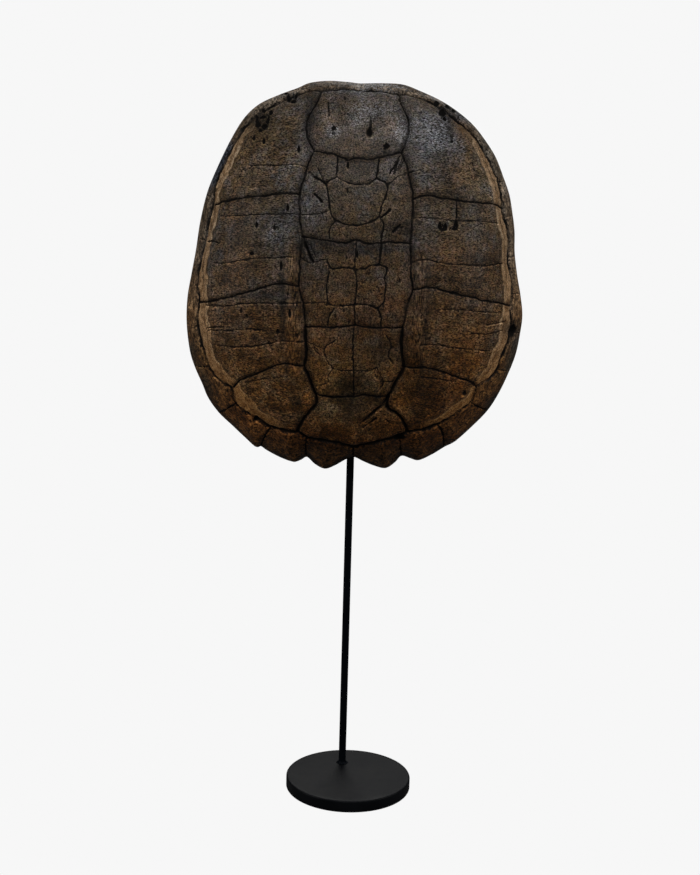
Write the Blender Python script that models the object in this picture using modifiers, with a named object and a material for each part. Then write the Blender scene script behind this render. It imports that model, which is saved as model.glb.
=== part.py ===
"""A turtle's bony upper shell, held up by a steel rod on a round steel base.

The domed outer side of the shell faces -Y and its hollow faces +Y. +Z is up, +X is to
the right of someone facing the dome, and the origin is at the centre of the base's
underside. Run it with: blender --background --python part.py
"""
import math

import bmesh
import bpy
import numpy as np
from mathutils import Vector, geometry

MM = 0.001                # every size below is in millimetres

# ---- The stand -----------------------------------------------------------------------
BASE_RADIUS = 65.0
BASE_THICKNESS = 12.5
BASE_EDGE_RADIUS = 1.6
ROD_RADIUS = 3.8
ROD_X = -6.6              # the rod stands off the centre of the base
ROD_Y = 30.0
ROD_ABOVE_ARM = 9.0       # how far the rod's top stands above the arm
WELD_REACH = 2.4          # how far a weld fillet spreads past the bar it holds
GAP = 0.3                 # between pieces that touch

PLATE_WIDTH = 24.0
PLATE_HEIGHT = 64.0
PLATE_THICKNESS = 3.0
PLATE_CORNER_RADIUS = 4.0
SCREW_SPACING = 44.0
SCREW_SHANK_RADIUS = 1.9
SCREW_SHANK_LENGTH = 15.0
SCREW_HEAD_RADIUS = 4.0
SCREW_HEAD_HEIGHT = 2.6
SCREW_HOLE_RADIUS = SCREW_SHANK_RADIUS + GAP

# ---- The shell: place, depth and wall ---------------------------------------------------
SHELL_X = -5.0            # the shell's middle, and the plane that its rim lies in
SHELL_Y = 30.0
SHELL_Z = 530.0
SHELL_LEAN_DEGREES = -0.76
DOME_DEPTH = 105.0        # from the plane of the rim to the top of the dome
FRONT_RIM_RISE = 25.0     # the neck opening and the tail notch arch out of that plane
REAR_RIM_RISE = 14.0
WALL = 4.5
RIM_WALL = 6.0

# How the dome falls from its top to its edge: height = (1 - r ** power) ** root. The
# sides drop steeply, the front and rear slope off.
SIDE_POWER, FRONT_POWER, REAR_POWER = 2.3, 2.0, 1.95
SIDE_ROOT, FRONT_ROOT, REAR_ROOT = 0.60, 0.82, 0.85
TEETH_REACH = 0.78        # the teeth of the rim shape the dome from here outwards
TEETH_BLUR_DEGREES = 7.0

# Relief of the outer side
FURROW_DEPTH = 1.9
FURROW_HALF_WIDTH = 2.4
SCUTE_SWELL = 1.6         # each scute is a low pillow between its furrows
SCUTE_SWELL_REACH = 13.0
SIDE_KEEL_HEIGHT = 3.2
SIDE_KEEL_X = 58.0
SIDE_KEEL_SPREAD = 9.0
KEEL_KNOB_HEIGHT = 2.0    # each keel rises to a knob at the rear of every scute
MIDDLE_KEEL_HEIGHT = 1.6
MIDDLE_KEEL_SPREAD = 7.0
TROUGH_DEPTH = 2.4        # the row of scutes down the middle is a little sunken
TROUGH_SPREAD = 30.0
BARE_BAND_WIDTH = 9.0     # the bare ends of the ribs, just inside the rim furrow
BARE_BAND_DEPTH = 1.1
TOOTH_RIDGE_HEIGHT = 2.0

# Relief of the inner side
COLUMN_HEIGHT = 15.0      # the backbone stands off the inside of the dome
COLUMN_CREST_HALF = 6.5
COLUMN_FOOT_HALF = 13.0
COLUMN_TOP, COLUMN_BOTTOM = 150.0, -150.0
COLUMN_TAPER = 30.0
VERTEBRA_LENGTH = 38.0
VERTEBRA_SWELL = 0.14
RIB_HALF_WIDTH = 7.0
RIB_HEIGHT_AT_COLUMN = 6.5
RIB_HEIGHT_AT_END = 1.2
DEEP_PIT_BACKING = 5.0    # the bone is thicker behind the one deep pit
DEEP_PIT_BACKING_REACH = 15.0
DEEP_PIT_BACKING_INSET = 7.0
SEAT_X, SEAT_Z = -1.5, 10.0       # where the plate lies, the backbone is flat
SEAT_HALF_WIDTH = 14.5
SEAT_HALF_HEIGHT = 35.0
SEAT_SLOPE = 5.0
SEAT_DEPTH = 85.0

# Spacing of the points that the solid is drawn with
OUTLINE_STEP = 8.0
FURROW_STEP = 9.0
RIB_STEP = 12.0
OUTER_FILL_STEP = 13.0
INNER_FILL_STEP = 15.0
MERGE_DISTANCE = 0.25

# ---- The drawing of the shell: (x, z) from its middle, seen from the front --------------
# Outer edge, clockwise from the neck. The teeth of the rear edge are its tips and nicks.
OUTLINE = [
    (0, 190), (24, 190.5), (42, 189.5), (58, 184), (78, 175.5), (95, 165.5), (111, 153),
    (124, 138), (135, 122), (143, 104), (150, 86.5), (154, 68.5), (157, 50), (158, 29),
    (161.5, 6), (165.5, -14), (168, -34), (166, -54), (162.5, -73), (156, -91.5),
    (146.5, -112.5), (135.5, -130.5), (120, -147), (103, -162.5), (92, -168.5),
    (80, -176), (66, -182.5), (57, -180.5), (48, -178), (41.5, -185), (32, -191),
    (20, -188.5), (9, -184), (-1, -179.5), (-9, -182.5), (-20, -189), (-30, -192.5),
    (-40, -188), (-48.5, -180.5), (-54, -183.5), (-62, -186), (-75, -182), (-89, -175),
    (-96, -170.5), (-101, -171.5), (-112, -162),
    (-125, -150), (-139, -137), (-150, -122), (-156, -108), (-164, -90), (-169, -73),
    (-172, -46), (-171, -20), (-166.5, 5), (-162, 28), (-157.5, 55), (-150, 84),
    (-139.5, 108.5), (-126, 135), (-112.5, 156), (-97.5, 169.5), (-78, 178.5), (-60, 185),
    (-48, 190), (-30, 192), (-10, 191)]

# The furrow between the marginal scutes and the rest, clockwise from the neck.
RIM_FURROW = [
    (0, 182), (20, 181.5), (34, 179.5), (50, 178.5), (64, 174), (80, 166), (94, 156),
    (104, 149), (114, 138.5), (124, 124), (132, 109), (138, 97), (140, 82), (142, 68),
    (147, 53), (149, 36), (149, 20), (153, 5), (154, -8), (152, -24), (153, -44),
    (149, -60), (144, -72), (141, -84), (134, -93), (120, -101), (116, -117),
    (106, -124), (94, -133), (83, -140), (68, -145), (52, -147.5), (38, -153.5), (22, -158),
    (8, -162.5), (-1.5, -165.5), (-15, -160), (-30, -157), (-45, -155.5), (-57, -149.5),
    (-70, -147.5), (-84, -145), (-98, -136), (-108, -130), (-119, -122), (-122, -107),
    (-130, -101), (-139, -95), (-146, -86), (-151, -68), (-155, -54), (-157, -38),
    (-155, -18), (-158, -6), (-156, 8), (-152, 28), (-148, 46), (-145, 60), (-142, 76),
    (-140, 92), (-134, 106), (-127, 122), (-117, 138), (-108, 149), (-94, 161),
    (-80, 169), (-65, 175), (-50, 181), (-34, 181.5), (-16, 183)]

# Furrows either side of the five vertebral scutes, from the neck to the tail.
VERTEBRAL_SIDES = [
    [(-37, 181), (-41, 169), (-48, 157), (-50, 145), (-47, 133), (-42, 124)],
    [(-42, 124), (-47, 112), (-50, 100), (-54, 84), (-54, 70), (-53, 56), (-51, 45)],
    [(-51, 45), (-53, 28), (-53, 12), (-54, -1), (-51, -12), (-49, -24), (-48, -39)],
    [(-48, -39), (-48, -50), (-47, -63), (-49, -77), (-46, -86), (-42.5, -96), (-38.5, -107)],
    [(-38.5, -107), (-38, -117), (-48, -130), (-54.5, -141), (-57, -149.5)],
    [(38, 179), (41, 167), (46, 157), (47, 145), (44, 133), (40, 124)],
    [(40, 124), (45, 112), (48, 98), (51, 81), (51, 66), (50, 52), (49, 40)],
    [(49, 40), (50, 25), (50, 10), (52, -3), (48, -16), (46, -28), (44, -39)],
    [(44, -39), (43, -52), (44, -65), (46, -77), (41.5, -88), (36.5, -98), (32.5, -107.5)],
    [(32.5, -107.5), (31, -119), (39, -125.5), (46, -132), (50, -140), (52, -147.5)]]

# Furrows between one vertebral scute and the next.
VERTEBRAL_CROSSINGS = [
    [(-42, 124), (-30, 122.5), (-20, 121), (-10, 117), (-3, 119), (12, 118), (20, 119.5),
     (40, 124)],
    [(-51, 45), (-38, 43), (-22, 41), (-10, 40), (-1, 43), (10, 39.5), (30, 41), (49, 40)],
    [(-48, -39), (-25, -39.5), (-12, -39), (-3, -37), (5, -38), (15, -39.5), (44, -39)],
    [(-38.5, -107), (-22, -110), (-2, -109), (8, -107.5), (22, -109), (32.5, -107.5)]]

# Furrows between the pleural scutes, from the vertebral row out to the rim furrow.
PLEURAL_CROSSINGS = [
    [(-54, 83), (-75, 84), (-90, 81.5), (-105, 80.5), (-120, 77.5), (-141, 73)],
    [(-54, -1), (-66, 0.5), (-78, 0), (-105, -9), (-120, -13.5), (-142, -20), (-155, -22)],
    [(-49, -77), (-66, -75), (-80, -80), (-92, -86), (-105, -92), (-115, -98), (-121, -105)],
    [(51, 81), (66, 83.5), (80, 82), (95, 80), (115, 78), (132, 77), (141, 73)],
    [(52, -3), (62, -1), (72, -1), (85, -5), (110, -11), (120, -14), (135, -17), (152, -21)],
    [(46, -77), (60, -76.5), (75, -80), (88, -85), (112, -95), (120, -101)]]

# Furrows between the marginal scutes, from the rim furrow to just short of the edge.
MARGINAL_SEAMS = [
    [(-1.5, -165.5), (-1.5, -176)], [(45, -150.5), (46, -164), (47.5, -174.5)],
    [(83, -141), (88, -150), (91, -165)], [(116, -118), (122, -123), (132, -128)],
    [(141, -85), (153, -89)], [(152, -48), (164, -50)], [(154, -10), (163, -11)],
    [(149, 25), (156, 26)], [(143, 64), (152, 66)], [(137, 98), (143, 99)],
    [(122, 127), (127, 129)], [(94, 156), (97, 161)], [(50, 178), (54, 183)],
    [(-48, -154.5), (-49, -166), (-49, -177)], [(-84, -145), (-90, -156), (-95, -168)],
    [(-119, -122), (-128, -129), (-137, -136)], [(-146, -86), (-162, -89)],
    [(-156, -46), (-170, -46)], [(-156, -5), (-166, -3)], [(-150, 38), (-159, 40)],
    [(-142, 80), (-150, 82)], [(-126, 123), (-131, 126)], [(-95, 160), (-99, 167)],
    [(-50, 181), (-52, 186)]]

# Grooves that are worn or gouged, not furrows between scutes.
GOUGES = [
    [(-51, 45), (-46, 32), (-42, 22)],
    [(32.5, -107.5), (27, -116), (18, -125), (8, -135)]]

# Pits of the outer side: x, z, radius, depth.
DEEP_PIT = (153, -43, 5.5, 4.0)
PITS = [
    DEEP_PIT, (-92, 151, 7.0, 2.8), (-65, 174, 4.5, 2.2), (-100, 91, 3.5, 1.2),
    (79, 56, 4.0, 1.8), (92, 56, 3.5, 2.0), (10, 143, 3.5, 2.2), (81, 165, 6.0, 2.0),
    (26, 130, 3.5, 1.6), (25, 67, 4.0, 1.6), (36, 54, 4.5, 1.4), (-98, -136, 3.5, 2.0),
    (-107, -27, 3.5, 1.2)]

# The middle ridge of each tooth of the rear edge, from its tip inwards.
TOOTH_RIDGES = [
    [(32, -188), (27, -166)], [(66, -179), (64, -155)], [(101, -160), (96, -145)],
    [(-30, -189), (-25, -167)], [(-62, -183), (-66, -155)], [(-100, -168), (-104, -146)]]

# The eight ribs of each side, inside: z where each leaves the backbone, then its end.
RIBS = [
    (122, (104, 134)), (86, (128, 88)), (45, (137, 40)), (3, (143, -6)),
    (-36, (140, -48)), (-70, (126, -86)), (-97, (98, -114)), (-120, (60, -134))]

# ---- Finishes: base colour, roughness, metallic -----------------------------------------
BONE = ("bone", (0.075, 0.045, 0.028, 1.0), 0.42, 0.0)
BLACK_STEEL = ("black_steel", (0.012, 0.012, 0.013, 1.0), 0.45, 0.0)
SCREW_STEEL = ("screw_steel", (0.20, 0.19, 0.18, 1.0), 0.40, 1.0)


# ---- Drawing helpers ---------------------------------------------------------------------
def smooth_path(points, step, closed=False):
    """Points about `step` apart along a Catmull-Rom curve through `points`."""
    knots = [Vector(point) for point in points]
    last = len(knots) - 1

    def knot(index):
        return knots[index % len(knots)] if closed else knots[min(max(index, 0), last)]

    path = []
    for index in range(len(knots) if closed else last):
        before, start, end, after = (knot(index + offset) for offset in (-1, 0, 1, 2))
        pieces = max(1, round((end - start).length / step))
        for piece in range(pieces):
            t = piece / pieces
            path.append(0.5 * (2 * start + (end - before) * t
                               + (2 * before - 5 * start + 4 * end - after) * t ** 2
                               + (3 * start - before - 3 * end + after) * t ** 3))
    if not closed:
        path.append(knots[last])
    return np.array([tuple(point) for point in path])


def beside(path, distance):
    """A path beside another one, `distance` to its left."""
    along = np.gradient(path, axis=0)
    along /= np.linalg.norm(along, axis=1)[:, None]
    return path + distance * np.column_stack([-along[:, 1], along[:, 0]])


def distance_to(paths, points):
    """How far each point is from the nearest of the paths."""
    starts = np.concatenate([path[:-1] for path in paths])
    spans = np.concatenate([path[1:] - path[:-1] for path in paths])
    offsets = points[:, None, :] - starts[None, :, :]
    along = np.clip((offsets * spans).sum(2) / (spans ** 2).sum(1), 0, 1)
    return np.linalg.norm(offsets - along[..., None] * spans, axis=2).min(1)


def ramp(low, high, value):
    """0 below `low`, 1 above `high`, and smooth between."""
    t = np.clip((value - low) / (high - low), 0, 1)
    return t * t * (3 - 2 * t)


def radius_table(loop):
    """A function that gives a closed outline's radius at any angle."""
    angles = np.arctan2(loop[:, 1], loop[:, 0])
    radii = np.hypot(loop[:, 0], loop[:, 1])
    return lambda angle: np.interp(angle, angles, radii, period=2 * math.pi)


def blurred(radius_of, spread_degrees):
    """The same outline with its teeth rounded away."""
    angles = np.radians(np.arange(-180, 180, 0.5))
    radii = radius_of(angles)
    reach = int(3 * spread_degrees / 0.5)
    shifts = np.arange(-reach, reach + 1)
    weights = np.exp(-0.5 * (shifts * 0.5 / spread_degrees) ** 2)
    soft = sum(weight * np.roll(radii, shift) for weight, shift in zip(weights, shifts))
    soft /= weights.sum()
    return lambda angle: np.interp(angle, angles, soft, period=2 * math.pi)


# ---- The dome ----------------------------------------------------------------------------
EDGE = smooth_path(OUTLINE, OUTLINE_STEP, closed=True)
RIM_LINE = smooth_path(RIM_FURROW, FURROW_STEP, closed=True)
edge_radius = radius_table(EDGE)
soft_edge_radius = blurred(edge_radius, TEETH_BLUR_DEGREES)
rim_line_radius = radius_table(RIM_LINE)


def rim_rise(angle):
    """How far the edge arches out of the plane of the rim."""
    upward = np.sin(angle)
    return np.where(upward > 0, FRONT_RIM_RISE, REAR_RIM_RISE) * upward ** 2


def dome_height(points, wall=0.0, rim_wall=0.0):
    """Height of the smooth dome, or of its inner face when a wall is given."""
    angle = np.arctan2(points[:, 1], points[:, 0])
    radius = np.hypot(points[:, 0], points[:, 1])
    toothed = edge_radius(angle) - rim_wall
    soft = soft_edge_radius(angle) - rim_wall
    edge = soft + (toothed - soft) * ramp(TEETH_REACH, 1.0, radius / soft)
    ratio = np.clip(radius / edge, 0, 1)
    upward = np.sin(angle)
    share = upward ** 2
    end_power = np.where(upward > 0, FRONT_POWER, REAR_POWER)
    end_root = np.where(upward > 0, FRONT_ROOT, REAR_ROOT)
    power = SIDE_POWER + (end_power - SIDE_POWER) * share
    root = SIDE_ROOT + (end_root - SIDE_ROOT) * share
    rise = rim_rise(angle)
    return rise + (DOME_DEPTH - wall - rise) * (1 - ratio ** power) ** root


def dome_point(points, lift, wall=0.0, rim_wall=0.0):
    """Points of the dome moved by `lift` along its normal, as x, -height and z."""
    step = 0.5
    height = dome_height(points, wall, rim_wall)
    slopes = []
    for axis in ((step, 0), (0, step)):
        ahead = dome_height(points + axis, wall, rim_wall)
        behind = dome_height(points - axis, wall, rim_wall)
        slopes.append(np.clip((ahead - behind) / (2 * step), -3, 3))
    normal = np.column_stack([-slopes[0], np.ones(len(points)), -slopes[1]])
    normal /= np.linalg.norm(normal, axis=1)[:, None]
    moved = np.column_stack([points[:, 0], height, points[:, 1]]) + lift[:, None] * normal
    return moved * (1, -1, 1)


# ---- Relief ------------------------------------------------------------------------------
def furrow_paths():
    lines = VERTEBRAL_SIDES + VERTEBRAL_CROSSINGS + PLEURAL_CROSSINGS + MARGINAL_SEAMS
    paths = [smooth_path(line, FURROW_STEP) for line in lines + GOUGES]
    return paths + [np.vstack([RIM_LINE, RIM_LINE[:1]])]


def keels(points):
    """Three low keels, each with a knob at the rear of every scute it crosses."""
    x, z = points[:, 0], points[:, 1]
    side = np.exp(-((np.abs(x) - SIDE_KEEL_X) / SIDE_KEEL_SPREAD) ** 2)
    side *= ramp(150, 100, z) * ramp(-125, -90, z)
    knobs = sum(np.exp(-((z - rear) / 9.0) ** 2) for rear in (92, 8, -68))
    middle = np.exp(-(x / MIDDLE_KEEL_SPREAD) ** 2) * ramp(110, 40, z) * ramp(-150, -110, z)
    trough = np.exp(-(x / TROUGH_SPREAD) ** 2) * ramp(175, 120, z) * ramp(-165, -110, z)
    return (side * (SIDE_KEEL_HEIGHT + KEEL_KNOB_HEIGHT * knobs)
            + middle * MIDDLE_KEEL_HEIGHT - trough * TROUGH_DEPTH)


def bare_band(points):
    """The step down onto the bare rib ends, along the sides and the rear corners."""
    angle = np.arctan2(points[:, 1], points[:, 0])
    inside = rim_line_radius(angle) - np.hypot(points[:, 0], points[:, 1])
    band = ramp(-0.5, 1.0, inside) * ramp(BARE_BAND_WIDTH + 2, BARE_BAND_WIDTH - 2, inside)
    sides = ramp(0.25, 0.45, np.abs(np.cos(angle)))
    return -BARE_BAND_DEPTH * band * sides


def outer_lift(points, furrows):
    """How far the carved outer side stands off the smooth dome."""
    distance = distance_to(furrows, points)
    lift = SCUTE_SWELL * (1 - np.exp(-distance / SCUTE_SWELL_REACH))
    lift -= FURROW_DEPTH * np.clip(1 - distance / FURROW_HALF_WIDTH, 0, 1)
    lift += keels(points) + bare_band(points)
    ridge_distance = distance_to([np.array(line, float) for line in TOOTH_RIDGES], points)
    lift += TOOTH_RIDGE_HEIGHT * ramp(10, 0, ridge_distance)
    for x, z, radius, depth in PITS:
        away = np.hypot(points[:, 0] - x, points[:, 1] - z) / radius
        lift -= depth * np.clip(1 - away ** 2, 0, 1)
    return lift


def rib_paths():
    """The middle line of each rib, inside, and its mirror image."""
    paths = []
    for start_z, (end_x, end_z) in RIBS:
        bend = (0.5 * end_x, 0.65 * start_z + 0.35 * end_z)
        for side in (1, -1):
            line = [(side * COLUMN_CREST_HALF, start_z), (side * bend[0], bend[1]),
                    (side * end_x, end_z)]
            paths.append(smooth_path(line, RIB_STEP))
    return paths


def inner_lift(points, ribs):
    """How far the backbone and the ribs stand into the hollow."""
    x, z = points[:, 0], points[:, 1]
    out = np.clip((np.abs(x) - COLUMN_CREST_HALF) / 120, 0, 1)
    rib_height = RIB_HEIGHT_AT_COLUMN + (RIB_HEIGHT_AT_END - RIB_HEIGHT_AT_COLUMN) * out
    rib = rib_height * np.clip(1 - (distance_to(ribs, points) / RIB_HALF_WIDTH) ** 2, 0, 1)
    swell = 1 + VERTEBRA_SWELL * np.cos(2 * math.pi * (z - SEAT_Z) / VERTEBRA_LENGTH)
    slope = COLUMN_FOOT_HALF - COLUMN_CREST_HALF
    column = COLUMN_HEIGHT * swell * np.clip((COLUMN_FOOT_HALF - np.abs(x)) / slope, 0, 1)
    column *= ramp(COLUMN_TOP, COLUMN_TOP - COLUMN_TAPER, z)
    column *= ramp(COLUMN_BOTTOM, COLUMN_BOTTOM + COLUMN_TAPER, z)
    pit_x, pit_z = DEEP_PIT[:2]
    away = np.hypot(x - pit_x + DEEP_PIT_BACKING_INSET, z - pit_z) / DEEP_PIT_BACKING_REACH
    backing = DEEP_PIT_BACKING * ramp(1.0, 0.3, away)
    return -np.maximum.reduce([rib, column, backing])


def flatten_seat(moved):
    """Level the backbone where the plate lies on it."""
    beyond = np.maximum(np.abs(moved[:, 0] - SEAT_X) - SEAT_HALF_WIDTH,
                        np.abs(moved[:, 2] - SEAT_Z) - SEAT_HALF_HEIGHT)
    share = ramp(SEAT_SLOPE, 0.0, beyond)
    moved[:, 1] += share * (-SEAT_DEPTH - moved[:, 1])
    return moved


# ---- Meshes of the shell -----------------------------------------------------------------
def fill_points(step, boundary_radius, lines, clearance):
    """An even triangular spread of points that keeps clear of the drawn lines."""
    rows = np.arange(-200, 200, step * math.sqrt(0.75))
    spread = np.array([(x + (step / 2 if row % 2 else 0), z)
                       for row, z in enumerate(rows) for x in np.arange(-180, 180, step)])
    angle = np.arctan2(spread[:, 1], spread[:, 0])
    inside = np.hypot(spread[:, 0], spread[:, 1]) < boundary_radius(angle) - clearance
    spread = spread[inside]
    return spread[distance_to(lines, spread) > clearance]


def ring(loop, share, lines, clearance):
    """Points of the outline drawn in to a share of its size, clear of the lines."""
    points = loop * share
    return points[distance_to(lines, points) > clearance]


def triangulate(loop, lines, loose):
    """Plan triangles inside a loop, with every drawn line among their edges."""
    coords = [tuple(point) for point in loop]
    edges = []
    for line in lines:
        first = len(coords)
        coords += [tuple(point) for point in line]
        edges += [(index, index + 1) for index in range(first, len(coords) - 1)]
    coords += [tuple(point) for point in loose]
    inside_only = 1
    result = geometry.delaunay_2d_cdt([Vector(point) for point in coords], edges,
                                      [list(range(len(loop)))], inside_only, MERGE_DISTANCE)
    return np.array([tuple(point) for point in result[0]]), result[2]


def circle_points(x, z, radius, count=8):
    turns = 2 * math.pi * np.arange(count) / count
    return np.column_stack([x + radius * np.cos(turns), z + radius * np.sin(turns)])


def outer_plan(furrows):
    shoulders = [beside(path, side * FURROW_HALF_WIDTH)
                 for path in furrows for side in (1, -1)]
    loose = [fill_points(OUTER_FILL_STEP, edge_radius, furrows, OUTER_FILL_STEP * 0.62)]
    loose += [ring(EDGE, share, furrows, 3.2) for share in (0.985, 0.955)]
    for x, z, radius, _ in PITS:
        loose += [circle_points(x, z, radius), np.array([(x, z)])]
    return triangulate(EDGE, furrows + shoulders, np.vstack(loose))


def inner_plan(ribs):
    loop = EDGE * (1 - RIM_WALL / np.hypot(EDGE[:, 0], EDGE[:, 1]))[:, None]
    lines = list(ribs)
    for rib in ribs:
        lines += [beside(rib, side * RIB_HALF_WIDTH) for side in (1, -1)]
    ends = (COLUMN_BOTTOM, COLUMN_TOP)
    for x in (-COLUMN_FOOT_HALF, -COLUMN_CREST_HALF, COLUMN_CREST_HALF, COLUMN_FOOT_HALF):
        lines.append(smooth_path([(x, ends[0]), (x, ends[1])], RIB_STEP))
    for margin in (0.0, SEAT_SLOPE):
        half_width, half_height = SEAT_HALF_WIDTH + margin, SEAT_HALF_HEIGHT + margin
        corners = [(SEAT_X + sx * half_width, SEAT_Z + sz * half_height)
                   for sx, sz in ((1, 1), (1, -1), (-1, -1), (-1, 1), (1, 1))]
        lines += [np.array([a, b]) for a, b in zip(corners, corners[1:])]
    inner_radius = radius_table(loop)
    loose = [fill_points(INNER_FILL_STEP, inner_radius, lines, INNER_FILL_STEP * 0.6)]
    loose += [ring(loop, share, lines, 4.0) for share in (0.98, 0.94)]
    loose.append(circle_points(DEEP_PIT[0] - DEEP_PIT_BACKING_INSET, DEEP_PIT[1], 5.0))
    return triangulate(loop, lines, np.vstack(loose))


def carapace_mesh():
    """One closed body: carved dome, ribbed inner face, and the edge between them."""
    furrows = furrow_paths()
    ribs = rib_paths()
    outer_points, outer_faces = outer_plan(furrows)
    inner_points, inner_faces = inner_plan(ribs)

    on_edge = ramp(0.0, 4.0, distance_to([np.vstack([EDGE, EDGE[:1]])], outer_points))
    outer = dome_point(outer_points, outer_lift(outer_points, furrows) * on_edge)
    inner = dome_point(inner_points, inner_lift(inner_points, ribs), WALL, RIM_WALL)
    inner = flatten_seat(inner)

    shape = bmesh.new()
    for points, faces in ((outer, outer_faces), (inner, inner_faces)):
        corners = [shape.verts.new(point * MM) for point in points]
        for face in faces:
            shape.faces.new([corners[index] for index in face])
    rims = [edge for edge in shape.edges if edge.is_boundary]
    bmesh.ops.bridge_loops(shape, edges=rims)
    bmesh.ops.triangulate(shape, faces=shape.faces)
    bmesh.ops.recalc_face_normals(shape, faces=shape.faces)
    mesh = bpy.data.meshes.new("carapace")
    shape.to_mesh(mesh)
    shape.free()
    return mesh


# ---- Objects -------------------------------------------------------------------------------
def clear_scene():
    for old in list(bpy.data.objects):
        bpy.data.objects.remove(old, do_unlink=True)


def make_collection(name):
    collection = bpy.data.collections.new(name)
    bpy.context.scene.collection.children.link(collection)
    return collection


def make_material(finish):
    name, colour, roughness, metallic = finish
    material = bpy.data.materials.new(name)
    material.use_nodes = True
    shader = material.node_tree.nodes["Principled BSDF"]
    shader.inputs["Base Color"].default_value = colour
    shader.inputs["Roughness"].default_value = roughness
    shader.inputs["Metallic"].default_value = metallic
    return material


def add_object(name, mesh, collection, parent, material=None):
    thing = bpy.data.objects.new(name, mesh)
    collection.objects.link(thing)
    thing.parent = parent
    if material:
        mesh.materials.append(material)
    return thing


def turned(name, profile, sides, collection, parent, material):
    """A solid of revolution about Z from (radius, height) points, given top to bottom."""
    mesh = bpy.data.meshes.new(name)
    points = [(radius * MM, 0, height * MM) for radius, height in profile]
    mesh.from_pydata(points, [(i, i + 1) for i in range(len(points) - 1)], [])
    thing = add_object(name, mesh, collection, parent, material)
    screw = thing.modifiers.new("turn", "SCREW")
    screw.steps = screw.render_steps = sides
    screw.use_merge_vertices = True
    screw.merge_threshold = 0.00001
    return thing


def cylinder_mesh(name, radius, depth, sides):
    shape = bmesh.new()
    bmesh.ops.create_cone(shape, cap_ends=True, segments=sides, radius1=radius * MM,
                          radius2=radius * MM, depth=depth * MM)
    mesh = bpy.data.meshes.new(name)
    shape.to_mesh(mesh)
    shape.free()
    return mesh


def cut(thing, cutter):
    boolean = thing.modifiers.new("cut_" + cutter.name, "BOOLEAN")
    boolean.operation = "DIFFERENCE"
    boolean.object = cutter
    boolean.solver = "EXACT"


def weld_fillet(bar_radius, height, away):
    """Profile points of a fillet from the bar out to the surface it is welded to."""
    spread = [(0.0, 1.5), (0.25, 0.75), (0.6, 0.3), (1.0, 0.0)]
    return [(bar_radius + out * WELD_REACH, height + away * up * WELD_REACH)
            for out, up in spread]


# ---- The pieces ----------------------------------------------------------------------------
PLATE_Y = SHELL_Y - SEAT_DEPTH + GAP + PLATE_THICKNESS / 2
ARM_Z = SHELL_Z + SEAT_Z


def make_carapace(collection, root, material):
    thing = add_object("carapace", carapace_mesh(), collection, root, material)
    thing.location = (SHELL_X * MM, SHELL_Y * MM, SHELL_Z * MM)
    thing.rotation_euler.y = math.radians(SHELL_LEAN_DEGREES)
    return thing


def make_base(collection, root, material):
    mesh = cylinder_mesh("base_disc", BASE_RADIUS, BASE_THICKNESS, 72)
    thing = add_object("base_disc", mesh, collection, root, material)
    thing.location.z = BASE_THICKNESS / 2 * MM
    bevel = thing.modifiers.new("edge", "BEVEL")
    bevel.width = BASE_EDGE_RADIUS * MM
    bevel.segments = 3
    bevel.limit_method = "ANGLE"
    bevel.angle_limit = math.radians(60)
    return thing


def make_rod(collection, root, material):
    foot = BASE_THICKNESS + GAP
    top = ARM_Z + ROD_ABOVE_ARM
    chamfer = 0.6
    profile = [(0, top), (ROD_RADIUS - chamfer, top), (ROD_RADIUS, top - chamfer)]
    profile += weld_fillet(ROD_RADIUS, foot, 1) + [(0, foot)]
    thing = turned("rod", profile, 24, collection, root, material)
    thing.location = (ROD_X * MM, ROD_Y * MM, 0)
    return thing


def make_arm(collection, root, material):
    """From the rod forward to the plate, with a weld fillet at each end."""
    rod_side = ROD_Y - ROD_RADIUS - GAP
    plate_side = PLATE_Y + PLATE_THICKNESS / 2 + GAP
    length = rod_side - plate_side
    profile = [(0, length)] + weld_fillet(ROD_RADIUS, length, -1)[::-1]
    profile += weld_fillet(ROD_RADIUS, 0, 1) + [(0, 0)]
    thing = turned("arm", profile, 24, collection, root, material)
    thing.location = (ROD_X * MM, plate_side * MM, ARM_Z * MM)
    thing.rotation_euler.x = math.radians(-90)
    return thing


def make_plate(collection, root, material):
    shape = bmesh.new()
    bmesh.ops.create_cube(shape, size=1.0)
    bmesh.ops.scale(shape, verts=shape.verts,
                    vec=(PLATE_WIDTH * MM, PLATE_THICKNESS * MM, PLATE_HEIGHT * MM))
    corners = [edge for edge in shape.edges
               if abs((edge.verts[0].co - edge.verts[1].co).y) > PLATE_THICKNESS * MM / 2]
    bmesh.ops.bevel(shape, geom=corners, offset=PLATE_CORNER_RADIUS * MM, segments=5,
                    profile=0.5, affect="EDGES")
    mesh = bpy.data.meshes.new("mount_plate")
    shape.to_mesh(mesh)
    shape.free()
    thing = add_object("mount_plate", mesh, collection, root, material)
    thing.location = (ROD_X * MM, PLATE_Y * MM, ARM_Z * MM)
    return thing


def make_screw(name, z, collection, root, material):
    """A pan-head screw driven forward through the plate into the backbone."""
    head = SCREW_HEAD_HEIGHT
    rounding = 0.9
    profile = [(0, head), (SCREW_HEAD_RADIUS - 1.6 * rounding, head),
               (SCREW_HEAD_RADIUS - 0.4 * rounding, head - 0.5 * rounding),
               (SCREW_HEAD_RADIUS, head - 1.4 * rounding), (SCREW_HEAD_RADIUS, 0),
               (SCREW_SHANK_RADIUS, 0), (SCREW_SHANK_RADIUS, -SCREW_SHANK_LENGTH + 2),
               (0, -SCREW_SHANK_LENGTH)]
    thing = turned(name, profile, 20, collection, root, material)
    under_head = PLATE_Y + PLATE_THICKNESS / 2 + GAP
    thing.location = (ROD_X * MM, under_head * MM, z * MM)
    thing.rotation_euler.x = math.radians(-90)
    return thing


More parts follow.
